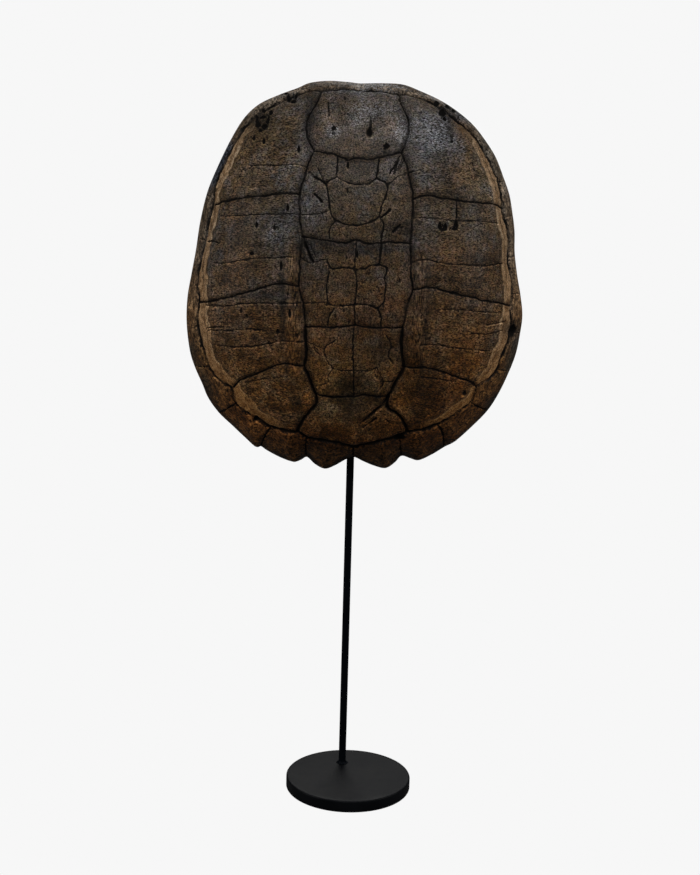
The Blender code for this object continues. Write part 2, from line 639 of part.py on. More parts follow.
def make_screw_hole(name, z, collection, root):
    """The cutter of one screw's hole, through the plate and into the bone."""
    depth = SCREW_SHANK_LENGTH + 3.0
    mesh = cylinder_mesh(name, SCREW_HOLE_RADIUS, depth, 20)
    thing = add_object(name, mesh, collection, root)
    back = PLATE_Y + PLATE_THICKNESS / 2 + 1.5
    thing.location = (ROD_X * MM, (back - depth / 2) * MM, z * MM)
    thing.rotation_euler.x = math.radians(90)
    thing.hide_render = True
    thing.display_type = "WIRE"
    return thing


def main():
    clear_scene()
    parts = make_collection("turtle_shell_on_stand")
    cutters = make_collection("cutters")
    root = bpy.data.objects.new("stand_origin", None)
    parts.objects.link(root)
    bone, black, bright = (make_material(finish)
                           for finish in (BONE, BLACK_STEEL, SCREW_STEEL))

    carapace = make_carapace(parts, root, bone)
    make_base(parts, root, black)
    make_rod(parts, root, black)
    make_arm(parts, root, black)
    plate = make_plate(parts, root, black)
    for place, side in (("upper", 1), ("lower", -1)):
        z = ARM_Z + side * SCREW_SPACING / 2
        make_screw("screw_" + place, z, parts, root, bright)
        hole = make_screw_hole("hole_" + place, z, cutters, root)
        cut(plate, hole)
        cut(carapace, hole)
    bpy.context.view_layer.update()


main()
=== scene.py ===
# %% [markdown]
# A turtle's upper shell on a steel stand
#
# The real object is one domed piece of bone, about 385 mm long, stained dark brown and
# waxed. A slim black rod on a round steel base holds it upright, with its neck end up.
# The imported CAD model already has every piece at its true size. This lesson dresses it:
# each CAD piece is remade with finer detail in the same place, and gets a finish.

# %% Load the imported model
import math

import bmesh
import bpy
import numpy as np
from mathutils import Matrix, Vector


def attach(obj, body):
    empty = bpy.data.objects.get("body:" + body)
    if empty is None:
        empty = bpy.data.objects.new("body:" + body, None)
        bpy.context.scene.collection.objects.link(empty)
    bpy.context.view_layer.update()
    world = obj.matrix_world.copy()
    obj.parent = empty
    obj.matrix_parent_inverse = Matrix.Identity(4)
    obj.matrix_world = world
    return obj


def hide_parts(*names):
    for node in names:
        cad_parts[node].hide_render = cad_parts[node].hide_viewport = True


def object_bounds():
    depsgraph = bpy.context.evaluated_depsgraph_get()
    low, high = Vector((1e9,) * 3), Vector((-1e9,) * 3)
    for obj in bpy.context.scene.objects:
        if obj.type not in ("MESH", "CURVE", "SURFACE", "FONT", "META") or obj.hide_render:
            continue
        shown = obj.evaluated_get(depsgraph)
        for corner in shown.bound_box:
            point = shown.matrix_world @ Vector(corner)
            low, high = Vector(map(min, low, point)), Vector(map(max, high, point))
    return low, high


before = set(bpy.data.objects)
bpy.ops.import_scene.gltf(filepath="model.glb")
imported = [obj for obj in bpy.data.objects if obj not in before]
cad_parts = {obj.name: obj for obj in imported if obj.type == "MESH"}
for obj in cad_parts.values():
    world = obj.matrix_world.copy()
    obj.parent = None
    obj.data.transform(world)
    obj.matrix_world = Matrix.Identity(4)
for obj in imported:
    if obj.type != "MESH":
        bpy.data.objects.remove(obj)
cad_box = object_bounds()
MM = 0.001          # the sizes below are in millimetres
print("CAD pieces:", ", ".join(sorted(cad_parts)))

# %% [markdown]
# The camera
#
# The camera comes first, so that every later step can be judged in the picture. One
# pinhole camera fits the photo: it explains the ellipse of the base, both ends of the
# rod and the outline of the shell. It stands 1.35 m in front, looks slightly down, and
# is turned a little about its own axis, which is why the rod leans in the picture.

# %% Camera
EYE = Vector((-7.6, -1350.0, 616.0)) * MM
LOOKS_DOWN_DEGREES = 10.2
ROLL_DEGREES = 1.56
FOCAL_PIXELS, PICTURE_HEIGHT = 1362.0, 875.0
SENSOR_MM = 36.0    # spans the picture's longer side, its height


def add_object(name, data):
    """Make an object of a mesh, a camera or a light, and put it in the scene."""
    thing = bpy.data.objects.new(name, data)
    bpy.context.scene.collection.objects.link(thing)
    return thing


camera_data = bpy.data.cameras.new("camera")
camera_data.sensor_width = SENSOR_MM
camera_data.lens = SENSOR_MM * FOCAL_PIXELS / PICTURE_HEIGHT
camera = add_object("camera", camera_data)
camera.matrix_world = (Matrix.Translation(EYE)
                       @ Matrix.Rotation(math.radians(90 - LOOKS_DOWN_DEGREES), 4, "X")
                       @ Matrix.Rotation(math.radians(ROLL_DEGREES), 4, "Z"))
bpy.context.scene.camera = camera
bpy.context.scene.view_settings.view_transform = "Standard"
print(f"camera: {camera_data.lens:.1f} mm lens")

# %% [markdown]
# Building node trees in a script
#
# Both Geometry Nodes and materials are trees of nodes. Wiring them by hand takes three
# lines a node, so a few helpers do it in one: each adds a node, sets or links its
# inputs, and hands back the output that the next node needs.

# %% Helpers for node trees
def add_node(tree, kind, inputs=None, **settings):
    """Add a node. `inputs` gives an input's name or number a value or a link."""
    made = tree.nodes.new(kind)
    for name, value in settings.items():
        setattr(made, name, value)
    for key, value in (inputs or {}).items():
        if isinstance(value, bpy.types.NodeSocket):
            tree.links.new(value, made.inputs[key])
        else:
            made.inputs[key].default_value = value
    return made


def calc(tree, operation, *values, clamp=False):
    """A Math node's result."""
    return add_node(tree, "ShaderNodeMath", dict(enumerate(values)),
                    operation=operation, use_clamp=clamp).outputs[0]


def times(tree, *values):
    """The product of all the values."""
    product = values[0]
    for value in values[1:]:
        product = calc(tree, "MULTIPLY", product, value)
    return product


def vector_calc(tree, operation, *values):
    """A Vector Math node's vector."""
    return add_node(tree, "ShaderNodeVectorMath", dict(enumerate(values)),
                    operation=operation).outputs["Vector"]


def length_of(tree, vector):
    return add_node(tree, "ShaderNodeVectorMath", {0: vector},
                    operation="LENGTH").outputs["Value"]


def fade(tree, value, low, high, at_low=0.0, at_high=1.0):
    """`at_low` up to `low`, `at_high` from `high`, and smooth between."""
    return add_node(tree, "ShaderNodeMapRange",
                    {"Value": value, "From Min": low, "From Max": high,
                     "To Min": at_low, "To Max": at_high},
                    interpolation_type="SMOOTHSTEP").outputs["Result"]


def stripe(tree, value, start, full, fading, end):
    """1 from `full` to `fading`, 0 before `start` and after `end`."""
    return times(tree, fade(tree, value, start, full), fade(tree, value, fading, end, 1.0, 0.0))


def split(tree, vector):
    return add_node(tree, "ShaderNodeSeparateXYZ", {0: vector}).outputs


def join(tree, *parts):
    return add_node(tree, "ShaderNodeCombineXYZ", dict(enumerate(parts))).outputs[0]


print("node helpers ready")

# %% [markdown]
# The drawing of the shell
#
# A carapace is covered by horny plates, the scutes, and each border between two of them
# leaves a furrow in the bone. Under them the bone itself is knitted from many plates,
# and their seams, the sutures, show as finer lines that run between the furrows. Wear
# has added gouges, where a furrow tore wider, short deep gashes, and shallow scratches.
# All of them are drawn here as points, in millimetres from the middle of the shell, as
# someone in front of it sees them: x to the right, z up. The outline and the furrows
# are those of the CAD model.

# %% Outline and rim furrow
OUTLINE = [
    (0, 190), (24, 190.5), (42, 189.5), (58, 184), (78, 175.5), (95, 165.5), (111, 153),
    (124, 138), (135, 122), (143, 104), (150, 86.5), (154, 68.5), (157, 50), (158, 29),
    (161.5, 6), (165.5, -14), (168, -34), (166, -54), (162.5, -73), (156, -91.5),
    (146.5, -112.5), (135.5, -130.5), (120, -147), (103, -162.5), (92, -168.5),
    (80, -176), (66, -182.5), (57, -180.5), (48, -178), (41.5, -185), (32, -191),
    (20, -188.5), (9, -184), (-1, -179.5), (-9, -182.5), (-20, -189), (-30, -192.5),
    (-40, -188), (-48.5, -180.5), (-54, -183.5), (-62, -186), (-75, -182), (-89, -175),
    (-96, -170.5), (-101, -171.5), (-112, -162),
    (-125, -150), (-139, -137), (-150, -122), (-156, -108), (-164, -90), (-169, -73),
    (-172, -46), (-171, -20), (-166.5, 5), (-162, 28), (-157.5, 55), (-150, 84),
    (-139.5, 108.5), (-126, 135), (-112.5, 156), (-97.5, 169.5), (-78, 178.5), (-60, 185),
    (-48, 190), (-30, 192), (-10, 191)]

RIM_FURROW = [
    (0, 182), (20, 181.5), (34, 179.5), (50, 178.5), (64, 174), (80, 166), (94, 156),
    (104, 149), (114, 138.5), (124, 124), (132, 109), (138, 97), (140, 82), (142, 68),
    (147, 53), (149, 36), (149, 20), (153, 5), (154, -8), (152, -24), (153, -44),
    (149, -60), (144, -72), (141, -84), (134, -93), (120, -101), (116, -117),
    (106, -124), (94, -133), (83, -140), (68, -145), (52, -147.5), (38, -153.5), (22, -158),
    (8, -162.5), (-1.5, -165.5), (-15, -160), (-30, -157), (-45, -155.5), (-57, -149.5),
    (-70, -147.5), (-84, -145), (-98, -136), (-108, -130), (-119, -122), (-122, -107),
    (-130, -101), (-139, -95), (-146, -86), (-151, -68), (-155, -54), (-157, -38),
    (-155, -18), (-158, -6), (-156, 8), (-152, 28), (-148, 46), (-145, 60), (-142, 76),
    (-140, 92), (-134, 106), (-127, 122), (-117, 138), (-108, 149), (-94, 161),
    (-80, 169), (-65, 175), (-50, 181), (-34, 181.5), (-16, 183)]
print(len(OUTLINE), "points round the edge,", len(RIM_FURROW), "round the rim furrow")

# %% Furrows, gouges, gashes and scratches
VERTEBRAL_SIDES = [
    [(-37, 181), (-41, 169), (-48, 157), (-50, 145), (-47, 133), (-42, 124)],
    [(-42, 124), (-47, 112), (-50, 100), (-54, 84), (-54, 70), (-53, 56), (-51, 45)],
    [(-51, 45), (-53, 28), (-53, 12), (-54, -1), (-51, -12), (-49, -24), (-48, -39)],
    [(-48, -39), (-48, -50), (-47, -63), (-49, -77), (-46, -86), (-42.5, -96), (-38.5, -107)],
    [(-38.5, -107), (-38, -117), (-48, -130), (-54.5, -141), (-57, -149.5)],
    [(38, 179), (41, 167), (46, 157), (47, 145), (44, 133), (40, 124)],
    [(40, 124), (45, 112), (48, 98), (51, 81), (51, 66), (50, 52), (49, 40)],
    [(49, 40), (50, 25), (50, 10), (52, -3), (48, -16), (46, -28), (44, -39)],
    [(44, -39), (43, -52), (44, -65), (46, -77), (41.5, -88), (36.5, -98), (32.5, -107.5)],
    [(32.5, -107.5), (31, -119), (39, -125.5), (46, -132), (50, -140), (52, -147.5)]]

CROSSINGS = [
    [(-42, 124), (-30, 122.5), (-20, 121), (-10, 117), (-3, 119), (12, 118), (20, 119.5),
     (40, 124)],
    [(-51, 45), (-38, 43), (-22, 41), (-10, 40), (-1, 43), (10, 39.5), (30, 41), (49, 40)],
    [(-48, -39), (-25, -39.5), (-12, -39), (-3, -37), (5, -38), (15, -39.5), (44, -39)],
    [(-38.5, -107), (-22, -110), (-2, -109), (8, -107.5), (22, -109), (32.5, -107.5)],
    [(-54, 83), (-75, 84), (-90, 81.5), (-105, 80.5), (-120, 77.5), (-141, 73)],
    [(-54, -1), (-66, 0.5), (-78, 0), (-105, -9), (-120, -13.5), (-142, -20), (-155, -22)],
    [(-49, -77), (-66, -75), (-80, -80), (-92, -86), (-105, -92), (-115, -98), (-121, -105)],
    [(51, 81), (66, 83.5), (80, 82), (95, 80), (115, 78), (132, 77), (141, 73)],
    [(52, -3), (62, -1), (72, -1), (85, -5), (110, -11), (120, -14), (135, -17), (152, -21)],
    [(46, -77), (60, -76.5), (75, -80), (88, -85), (112, -95), (120, -101)]]

MARGINAL_SEAMS = [
    [(-1.5, -165.5), (-1.5, -176)], [(45, -150.5), (46, -164), (47.5, -174.5)],
    [(83, -141), (88, -150), (91, -165)], [(116, -118), (122, -123), (132, -128)],
    [(141, -85), (153, -89)], [(152, -48), (164, -50)], [(154, -10), (163, -11)],
    [(149, 25), (156, 26)], [(143, 64), (152, 66)], [(137, 98), (143, 99)],
    [(122, 127), (127, 129)], [(94, 156), (97, 161)], [(50, 178), (54, 183)],
    [(-48, -154.5), (-49, -166), (-49, -177)], [(-84, -145), (-90, -156), (-95, -168)],
    [(-119, -122), (-128, -129), (-137, -136)], [(-146, -86), (-162, -89)],
    [(-156, -46), (-170, -46)], [(-156, -5), (-166, -3)], [(-150, 38), (-159, 40)],
    [(-142, 80), (-150, 82)], [(-126, 123), (-131, 126)], [(-95, 160), (-99, 167)],
    [(-50, 181), (-52, 186)]]

GOUGES = [
    [(-51, 45), (-46, 32), (-42, 22)],
    [(32.5, -107.5), (27, -116), (18, -125), (8, -135)]]

GASHES = [
    [(22, 64), (26, 67), (30, 71)], [(-40.5, 84), (-37, 81), (-34, 77.5)], [(33, 51), (39, 57)],
    [(-41, 100), (-35, 97), (-31, 94)], [(-49, 40), (-45, 30), (-41, 22)]]

SCRATCHES = [
    [(39, 121), (33, 110), (29.5, 104.5)], [(37.5, 117), (33.5, 104)], [(43, 118), (38, 108)],
    [(34, 54), (42, 55)], [(-29.5, 170), (-28.5, 157)], [(-38, 108), (-30, 92)],
    [(-44, 38), (-38, 26)], [(21, -131), (14, -137), (8, -142)], [(30, -132), (35, -137)],
    [(-147, 37), (-140, 38), (-133, 36)], [(-39, 97), (-47, 105)],
    [(-105, -43), (-85, -44)], [(125, -38), (146, -36)], [(-146, -46), (-128, -43)]]
print(len(VERTEBRAL_SIDES) + len(CROSSINGS) + len(MARGINAL_SEAMS), "furrows,",
      len(GOUGES), "gouges,", len(GASHES), "gashes,", len(SCRATCHES), "scratches")

# %% Sutures
FINE_SUTURES = [
    [(-105, 110), (-90, 110), (-70, 110), (-50, 109), (-45, 104), (-38, 99), (-30, 96)],
    [(-133, 62), (-120, 62.5), (-100, 64), (-80, 65), (-55, 65), (-38, 66), (-28, 69)],
    [(-138, 17), (-125, 18), (-110, 21), (-95, 23.5), (-75, 25), (-55, 26), (-47, 22),
     (-42, 21), (-33, 24), (-28, 24)],
    [(-146, -24), (-125, -23), (-112, -20), (-95, -18.5), (-75, -17.5), (-50, -16.5),
     (-38, -16), (-28, -15.5)],
    [(-145, -48), (-120, -46), (-100, -43)],
    [(-135, -62), (-115, -62), (-100, -60), (-85, -57), (-70, -53), (-55, -53),
     (-45, -54), (-35, -58), (-30, -60)],
    [(-108, -98), (-90, -93), (-75, -90), (-65, -88)],
    [(58, 107), (50, 105), (45, 104), (38, 102), (32, 97), (28, 94)],
    [(50, 63), (70, 63), (90, 61), (110, 61), (135, 59)],
    [(48, 20), (55, 24), (65, 25), (80, 22), (100, 20), (120, 19), (142, 20)],
    [(80, -21), (100, -22.5), (120, -25), (140, -27)],
    [(110, -45), (125, -47), (142, -45)],
    [(60, -54), (75, -55), (90, -58), (110, -61), (130, -64)],
    [(60, -86), (75, -89), (95, -93)],
    [(-20, -52), (-30, -60), (-27, -72), (-22, -80), (-26, -86), (-26, -94)],
    [(20, -78), (24.5, -87.5), (27, -92.5), (25, -97), (23.5, -101), (21, -104)],
    [(27, -92.5), (36, -92)], [(-22, -80), (-10, -82), (0, -81), (12, -82), (20, -78)],
    [(28, -46), (33, -55), (31, -66), (36, -74)], [(27, -92.5), (20, -88), (18, -84)],
    [(-40, -60), (-34, -66), (-27, -68)], [(-26, -94), (-34, -97)]]

MIDDLE_SUTURES = [
    [(-20, 120), (-20, 108), (-20, 101), (-10, 95.5), (0, 94), (10, 95), (16, 99)],
    [(19, 119), (18, 108), (17, 100)], [(-20, 101), (-30, 95)],
    [(-30, 95), (-28, 85), (-27, 75), (-26, 70), (-22, 62), (-15, 58), (-8, 56.5),
     (0, 56), (8, 58), (15, 61), (20, 64)],
    [(17, 100), (27, 94), (26, 84), (22, 74), (20, 64)],
    [(-22, 59), (-26, 52), (-26, 43)],
    [(20, 64), (24, 58), (23, 50), (22, 42), (22, 32), (20, 21)],
    [(-28, 24), (-26, 18), (-22, 16), (-10, 17), (0, 16), (8, 17), (14, 20), (20, 20)],
    [(-26, 16), (-27, 8), (-28, 0), (-28, -10), (-27, -15)],
    [(20, 20), (28, 17), (26, 8), (27, 0), (26, -8), (26, -14)],
    [(-28, -16), (-20, -19), (-10, -18), (0, -17), (8, -17), (16, -19), (20, -20),
     (26, -14)],
    [(-20, -19), (-26, -30), (-27, -38)], [(20, -20), (23, -28), (23, -38)],
    [(-1, 40), (-2, 20), (0, 0), (-2, -20), (-1, -38)],
    [(-2.5, -40), (-3, -60), (-2, -85), (-1.5, -108)]]
print(len(FINE_SUTURES + MIDDLE_SUTURES), "sutures")

# %% [markdown]
# From points to smooth paths
#
# Straight runs between drawn points would look cut with a ruler. A Catmull-Rom curve
# passes through every point and bends softly between them.

# %% Smooth paths
def smooth_path(points, step, closed=False):
    """Points about `step` apart along a smooth curve through `points`."""
    knots = np.array(points, float)
    last = len(knots) - 1
    path = []
    for index in range(len(knots) if closed else last):
        picks = [index + offset for offset in (-1, 0, 1, 2)]
        picks = [p % len(knots) if closed else min(max(p, 0), last) for p in picks]
        before, start, end, after = knots[picks]
        count = max(1, round(np.linalg.norm(end - start) / step))
        for t in np.arange(count) / count:
            path.append(0.5 * (2 * start + (end - before) * t
                               + (2 * before - 5 * start + 4 * end - after) * t ** 2
                               + (3 * start - before - 3 * end + after) * t ** 3))
    if not closed:
        path.append(knots[last])
    return np.array(path)


def ramp(low, high, value):
    """0 up to `low`, 1 from `high`, and smooth between."""
    t = np.clip((value - low) / (high - low), 0, 1)
    return t * t * (3 - 2 * t)


INSIDE_CAD = 0.999      # keeps the fine edge a hair inside the CAD model's
edge_path = smooth_path(OUTLINE, 1.5, closed=True) * INSIDE_CAD
rim_path = smooth_path(RIM_FURROW, 1.5, closed=True)
print(len(edge_path), "points along the smooth edge")

# %% [markdown]
# The dome
#
# A carapace is nearly a half egg: its height falls from the middle to the edge by one
# rule, steeply at the sides and gently at the neck and tail, and the rim arches up at
# the neck and at the tail notch. The same rule made the CAD model, so the fine mesh
# lies exactly on it.

# %% The rule of the dome
DOME_DEPTH = 105.0
WALL, RIM_WALL = 4.5, 6.0
FRONT_RIM_RISE, REAR_RIM_RISE = 25.0, 14.0
SIDE_POWER, FRONT_POWER, REAR_POWER = 2.3, 2.0, 1.95
SIDE_ROOT, FRONT_ROOT, REAR_ROOT = 0.60, 0.82, 0.85
TEETH_REACH, TEETH_BLUR_DEGREES = 0.78, 7.0


def radius_table(loop):
    """A function that gives a closed outline's radius at any angle."""
    angles = np.arctan2(loop[:, 1], loop[:, 0])
    radii = np.hypot(loop[:, 0], loop[:, 1])
    return lambda angle: np.interp(angle, angles, radii, period=2 * math.pi)


def blurred(radius_of, spread):
    """The same outline with its teeth rounded away."""
    step = 0.5
    angles = np.radians(np.arange(-180, 180, step))
    shifts = np.arange(-int(3 * spread / step), int(3 * spread / step) + 1)
    weights = np.exp(-0.5 * (shifts * step / spread) ** 2)
    radii = radius_of(angles)
    soft = sum(w * np.roll(radii, s) for w, s in zip(weights, shifts)) / weights.sum()
    return lambda angle: np.interp(angle, angles, soft, period=2 * math.pi)


edge_radius = radius_table(edge_path)
soft_radius = blurred(edge_radius, TEETH_BLUR_DEGREES)
rim_line_radius = radius_table(rim_path)


def rim_rise(angle):
    upward = np.sin(angle)
    return np.where(upward > 0, FRONT_RIM_RISE, REAR_RIM_RISE) * upward ** 2


def dome_height(points, wall=0.0, rim_wall=0.0):
    angle = np.arctan2(points[:, 1], points[:, 0])
    radius = np.hypot(points[:, 0], points[:, 1])
    soft = soft_radius(angle) - rim_wall
    toothed = edge_radius(angle) - rim_wall
    ratio = radius / (soft + (toothed - soft) * ramp(TEETH_REACH, 1.0, radius / soft))
    upward = np.sin(angle)
    end_power = np.where(upward > 0, FRONT_POWER, REAR_POWER)
    end_root = np.where(upward > 0, FRONT_ROOT, REAR_ROOT)
    power = SIDE_POWER + (end_power - SIDE_POWER) * upward ** 2
    root = SIDE_ROOT + (end_root - SIDE_ROOT) * upward ** 2
    rise = rim_rise(angle)
    falls = (1 - np.clip(ratio, 0, 1) ** power) ** root
    return rise + (DOME_DEPTH - wall - rise) * falls


print("dome height in the middle:", dome_height(np.array([[0.0, 0.0]])).round(1))

# %% [markdown]
# An even mesh on the dome
#
# A mesh with a pole in the middle would crowd its points there and spread them at the
# rim. Instead a square grid is bent into a disc, ring by ring, so that its cells stay
# nearly square, and the rings are drawn closer together near the steep rim. One such
# sheet is the outer side, a coarser one the inner side, and a rounded strip along the
# edge joins them into one closed body.

# %% One sheet
RIM_CROWDING, CROWDING_POWER = 0.17, 6     # how the rings crowd towards the steep rim


def sheet(count, wall, rim_wall):
    """Plan points, heights, faces and border of a grid bent to the shell's outline."""
    ticks = np.linspace(-1, 1, count + 1)
    a, b = np.meshgrid(ticks, ticks, indexing="ij")
    a, b = a.ravel(), b.ravel()
    wide = np.abs(a) > np.abs(b)
    big, small = np.where(wide, a, b), np.where(wide, b, a)
    swing = np.divide(small, big, out=np.zeros_like(big), where=big != 0) * math.pi / 4
    angle = np.where(wide, swing, math.pi / 2 - swing) + np.where(big < 0, math.pi, 0)
    share = np.abs(big)
    share = (1 + RIM_CROWDING) * share - RIM_CROWDING * share ** CROWDING_POWER
    soft = soft_radius(angle) - rim_wall
    toothed = edge_radius(angle) - rim_wall
    radius = share * (soft + (toothed - soft) * ramp(TEETH_REACH, 1.0, share))
    plan = np.column_stack([radius * np.cos(angle), radius * np.sin(angle)])
    number = np.arange((count + 1) ** 2).reshape(count + 1, count + 1)
    faces = np.stack([number[:-1, :-1], number[1:, :-1], number[1:, 1:], number[:-1, 1:]],
                     axis=-1).reshape(-1, 4)
    border = np.concatenate([number[:-1, 0], number[-1, :-1], number[:0:-1, -1],
                             number[0, :0:-1]])
    return plan, dome_height(plan, wall, rim_wall), faces, border


OUTER_CELLS, INNER_CELLS = 264, 132
outer_plan, outer_height, outer_faces, outer_border = sheet(OUTER_CELLS, 0.0, 0.0)
inner_plan, inner_height, inner_faces, inner_border = sheet(INNER_CELLS, WALL, RIM_WALL)
print(len(outer_faces), "faces outside,", len(inner_faces), "inside")

# %% Round the edge and join the sheets
EDGE_ROUNDING = 1.3
# how far inwards from the edge in mm, and how high as a share of the rounding
ROUND_STEPS = [(0.25, 0.45), (0.75, 0.1), (1.6, 0.0), (3.2, 0.0), (4.6, 0.05)]

for plan, height in ((outer_plan, outer_height), (inner_plan, inner_height)):
    # the lowest strip of each sheet is lifted, which leaves room for the rounding
    rise = rim_rise(np.arctan2(plan[:, 1], plan[:, 0]))
    above = height - rise
    low = above < 3 * EDGE_ROUNDING
    height[low] = (rise + EDGE_ROUNDING + above * 2 / 3)[low]

rings, ring_heights = [], []
border_plan = outer_plan[outer_border]
border_angle = np.arctan2(border_plan[:, 1], border_plan[:, 0])
border_radius = np.hypot(border_plan[:, 0], border_plan[:, 1])
for inwards, up in ROUND_STEPS:
    rings.append(border_plan * (1 - inwards / border_radius)[:, None])
    ring_heights.append(rim_rise(border_angle) + up * EDGE_ROUNDING)

plan_points = np.vstack([outer_plan] + rings + [inner_plan])
heights = np.concatenate([outer_height] + ring_heights + [inner_height])
print(len(plan_points), "points")

# %% Faces between the rings
around = len(outer_border)
ring_starts = len(outer_plan) + around * np.arange(len(rings))
loops = [outer_border] + [start + np.arange(around) for start in ring_starts]
inner_start = len(outer_plan) + around * len(rings)
faces = [tuple(face) for face in outer_faces]
faces += [tuple(face) for face in inner_faces + inner_start]
for first, second in zip(loops, loops[1:]):
    ahead, behind = np.roll(first, -1), np.roll(second, -1)
    faces += [tuple(face) for face in np.column_stack([first, ahead, behind, second])]
# the inner sheet has half as many points along its border, so two cells meet one there
last_ring, inner_loop = loops[-1], inner_border + inner_start
for index in range(len(inner_loop)):
    a, b, c = (last_ring[(2 * index + k) % around] for k in range(3))
    here, there = inner_loop[index], inner_loop[(index + 1) % len(inner_loop)]
    faces += [(a, b, here), (b, there, here), (b, c, there)]
print(len(faces), "faces in all")

# %% [markdown]
# What each point knows
#
# The later steps need to know where a point is in the drawing, even after it has been
# lifted onto the dome, so its plan position is stored with it as an attribute. Masks
# tell the outer side from the inner one. Geometry Nodes and the material both read
# these attributes by name.

# %% The smooth shell with its attributes
shell_mesh = bpy.data.meshes.new("carapace_finish")
smooth_points = np.column_stack([plan_points[:, 0], -heights, plan_points[:, 1]]) * MM
shell_mesh.from_pydata(smooth_points.tolist(), [], [tuple(map(int, f)) for f in faces])


def store(mesh, name, values, kind="FLOAT"):
    """Write one value, or one vector, for each point of the mesh."""
    attribute = mesh.attributes.new(name, kind, "POINT")
    field = "value" if kind == "FLOAT" else "vector"
    attribute.data.foreach_set(field, np.asarray(values, np.float32).ravel())


is_outer = np.zeros(len(plan_points))
is_outer[:len(outer_plan)] = 1
is_inner = np.zeros(len(plan_points))
is_inner[inner_start:] = 1
flat = np.column_stack([plan_points[:, 0], np.zeros(len(plan_points)), plan_points[:, 1]])
store(shell_mesh, "plan", flat, "FLOAT_VECTOR")
store(shell_mesh, "outer", is_outer)
store(shell_mesh, "inner", is_inner)

fix = bmesh.new()
fix.from_mesh(shell_mesh)
bmesh.ops.recalc_face_normals(fix, faces=fix.faces)
open_edges = sum(1 for edge in fix.edges if not edge.is_manifold)
fix.to_mesh(shell_mesh)
fix.free()
shell_mesh.shade_smooth()
shell = add_object("carapace_finish", shell_mesh)
print("smooth shell built,", open_edges, "open edges")

# %% [markdown]
# First relief: keels, trough, bare band
#
# Three low keels run from neck to tail, each rising to a knob at the rear of every
# scute, and between them the middle row is a little sunken. Along the flanks the bone
# steps down onto the bare ends of the ribs. These are broad forms that a formula of x
# and z gives best, so they start off the attribute `lift`, in millimetres along the
# surface's normal. Everything after this only adds to it or carves into it.

# %% Keels and band
SIDE_KEEL_X, SIDE_KEEL_SPREAD, SIDE_KEEL_HEIGHT = 58.0, 9.0, 3.2
KEEL_KNOBS, KNOB_SPREAD, KEEL_KNOB_HEIGHT = (92, 8, -68), 9.0, 2.0
MIDDLE_KEEL_SPREAD, MIDDLE_KEEL_HEIGHT = 7.0, 1.6
TROUGH_SPREAD, TROUGH_DEPTH = 30.0, 2.4
BARE_BAND_WIDTH, BARE_BAND_DEPTH = 9.0, 1.1

x, z = plan_points[:, 0], plan_points[:, 1]
angle = np.arctan2(z, x)
sideways = np.abs(np.cos(angle))
inside_rim = rim_line_radius(angle) - np.hypot(x, z)
# each form fades out towards the neck and the tail, between the two heights of its ramps
keel_strip = np.exp(-((np.abs(x) - SIDE_KEEL_X) / SIDE_KEEL_SPREAD) ** 2)
keel_strip *= ramp(150, 100, z) * ramp(-125, -90, z)
knobs = sum(np.exp(-((z - rear) / KNOB_SPREAD) ** 2) for rear in KEEL_KNOBS)
ridge = np.exp(-(x / MIDDLE_KEEL_SPREAD) ** 2) * ramp(110, 40, z) * ramp(-150, -110, z)
trough = np.exp(-(x / TROUGH_SPREAD) ** 2) * ramp(175, 120, z) * ramp(-165, -110, z)
band = ramp(-0.5, 1.0, inside_rim) * ramp(BARE_BAND_WIDTH + 2, BARE_BAND_WIDTH - 2, inside_rim)
band = band * ramp(0.25, 0.45, sideways)
lift = keel_strip * (SIDE_KEEL_HEIGHT + KEEL_KNOB_HEIGHT * knobs)
lift += ridge * MIDDLE_KEEL_HEIGHT - trough * TROUGH_DEPTH - band * BARE_BAND_DEPTH
store(shell_mesh, "lift", lift * is_outer)
print(f"lift from {lift.min():.1f} to {lift.max():.1f} mm")

# %% [markdown]
# A Geometry Nodes tree that carves along lines
#
# Furrows, sutures, gouges, scratches and the ridges on the rear teeth all follow drawn
# lines, so one tree makes them all. For each point it asks Geometry Proximity for the
# nearest spot of the line, turns the distance into a groove (or a ridge, with a
# negative depth), and adds it to `lift`. A little noise moves the point before it asks,
# so the groove wanders as a grown seam does. The tree also stores where the line is,
# seen from the point. The material uses that to draw the dark line finer than the mesh
# itself. The `Swell` input raises the bone away from the line, because the middle of a
# scute stands a little higher than its borders.

# %% Helpers for Geometry Nodes
def add_inputs(tree, inputs):
    """Named inputs, each given as a name, a kind and a value."""
    for label, kind, value in inputs:
        socket = tree.interface.new_socket(label, in_out="INPUT",
                                           socket_type="NodeSocket" + kind)
        if value is not None:
            socket.default_value = value


def new_tree(name, inputs):
    """A Geometry Nodes tree with its named inputs."""
    tree = bpy.data.node_groups.new(name, "GeometryNodeTree")
    tree.interface.new_socket("Geometry", in_out="INPUT", socket_type="NodeSocketGeometry")
    add_inputs(tree, inputs)
    tree.interface.new_socket("Geometry", in_out="OUTPUT", socket_type="NodeSocketGeometry")
    return tree, tree.nodes.new("NodeGroupInput").outputs


def read(tree, name, kind="FLOAT"):
    """A Named Attribute node's value. The name may be text or a socket."""
    return add_node(tree, "GeometryNodeInputNamedAttribute", {"Name": name},
                    data_type=kind).outputs["Attribute"]


def write(tree, geometry, name, value, kind="FLOAT"):
    stored = add_node(tree, "GeometryNodeStoreNamedAttribute",
                      {"Geometry": geometry, "Name": name}, data_type=kind, domain="POINT")
    tree.links.new(value, stored.inputs["Value"])
    return stored.outputs["Geometry"]


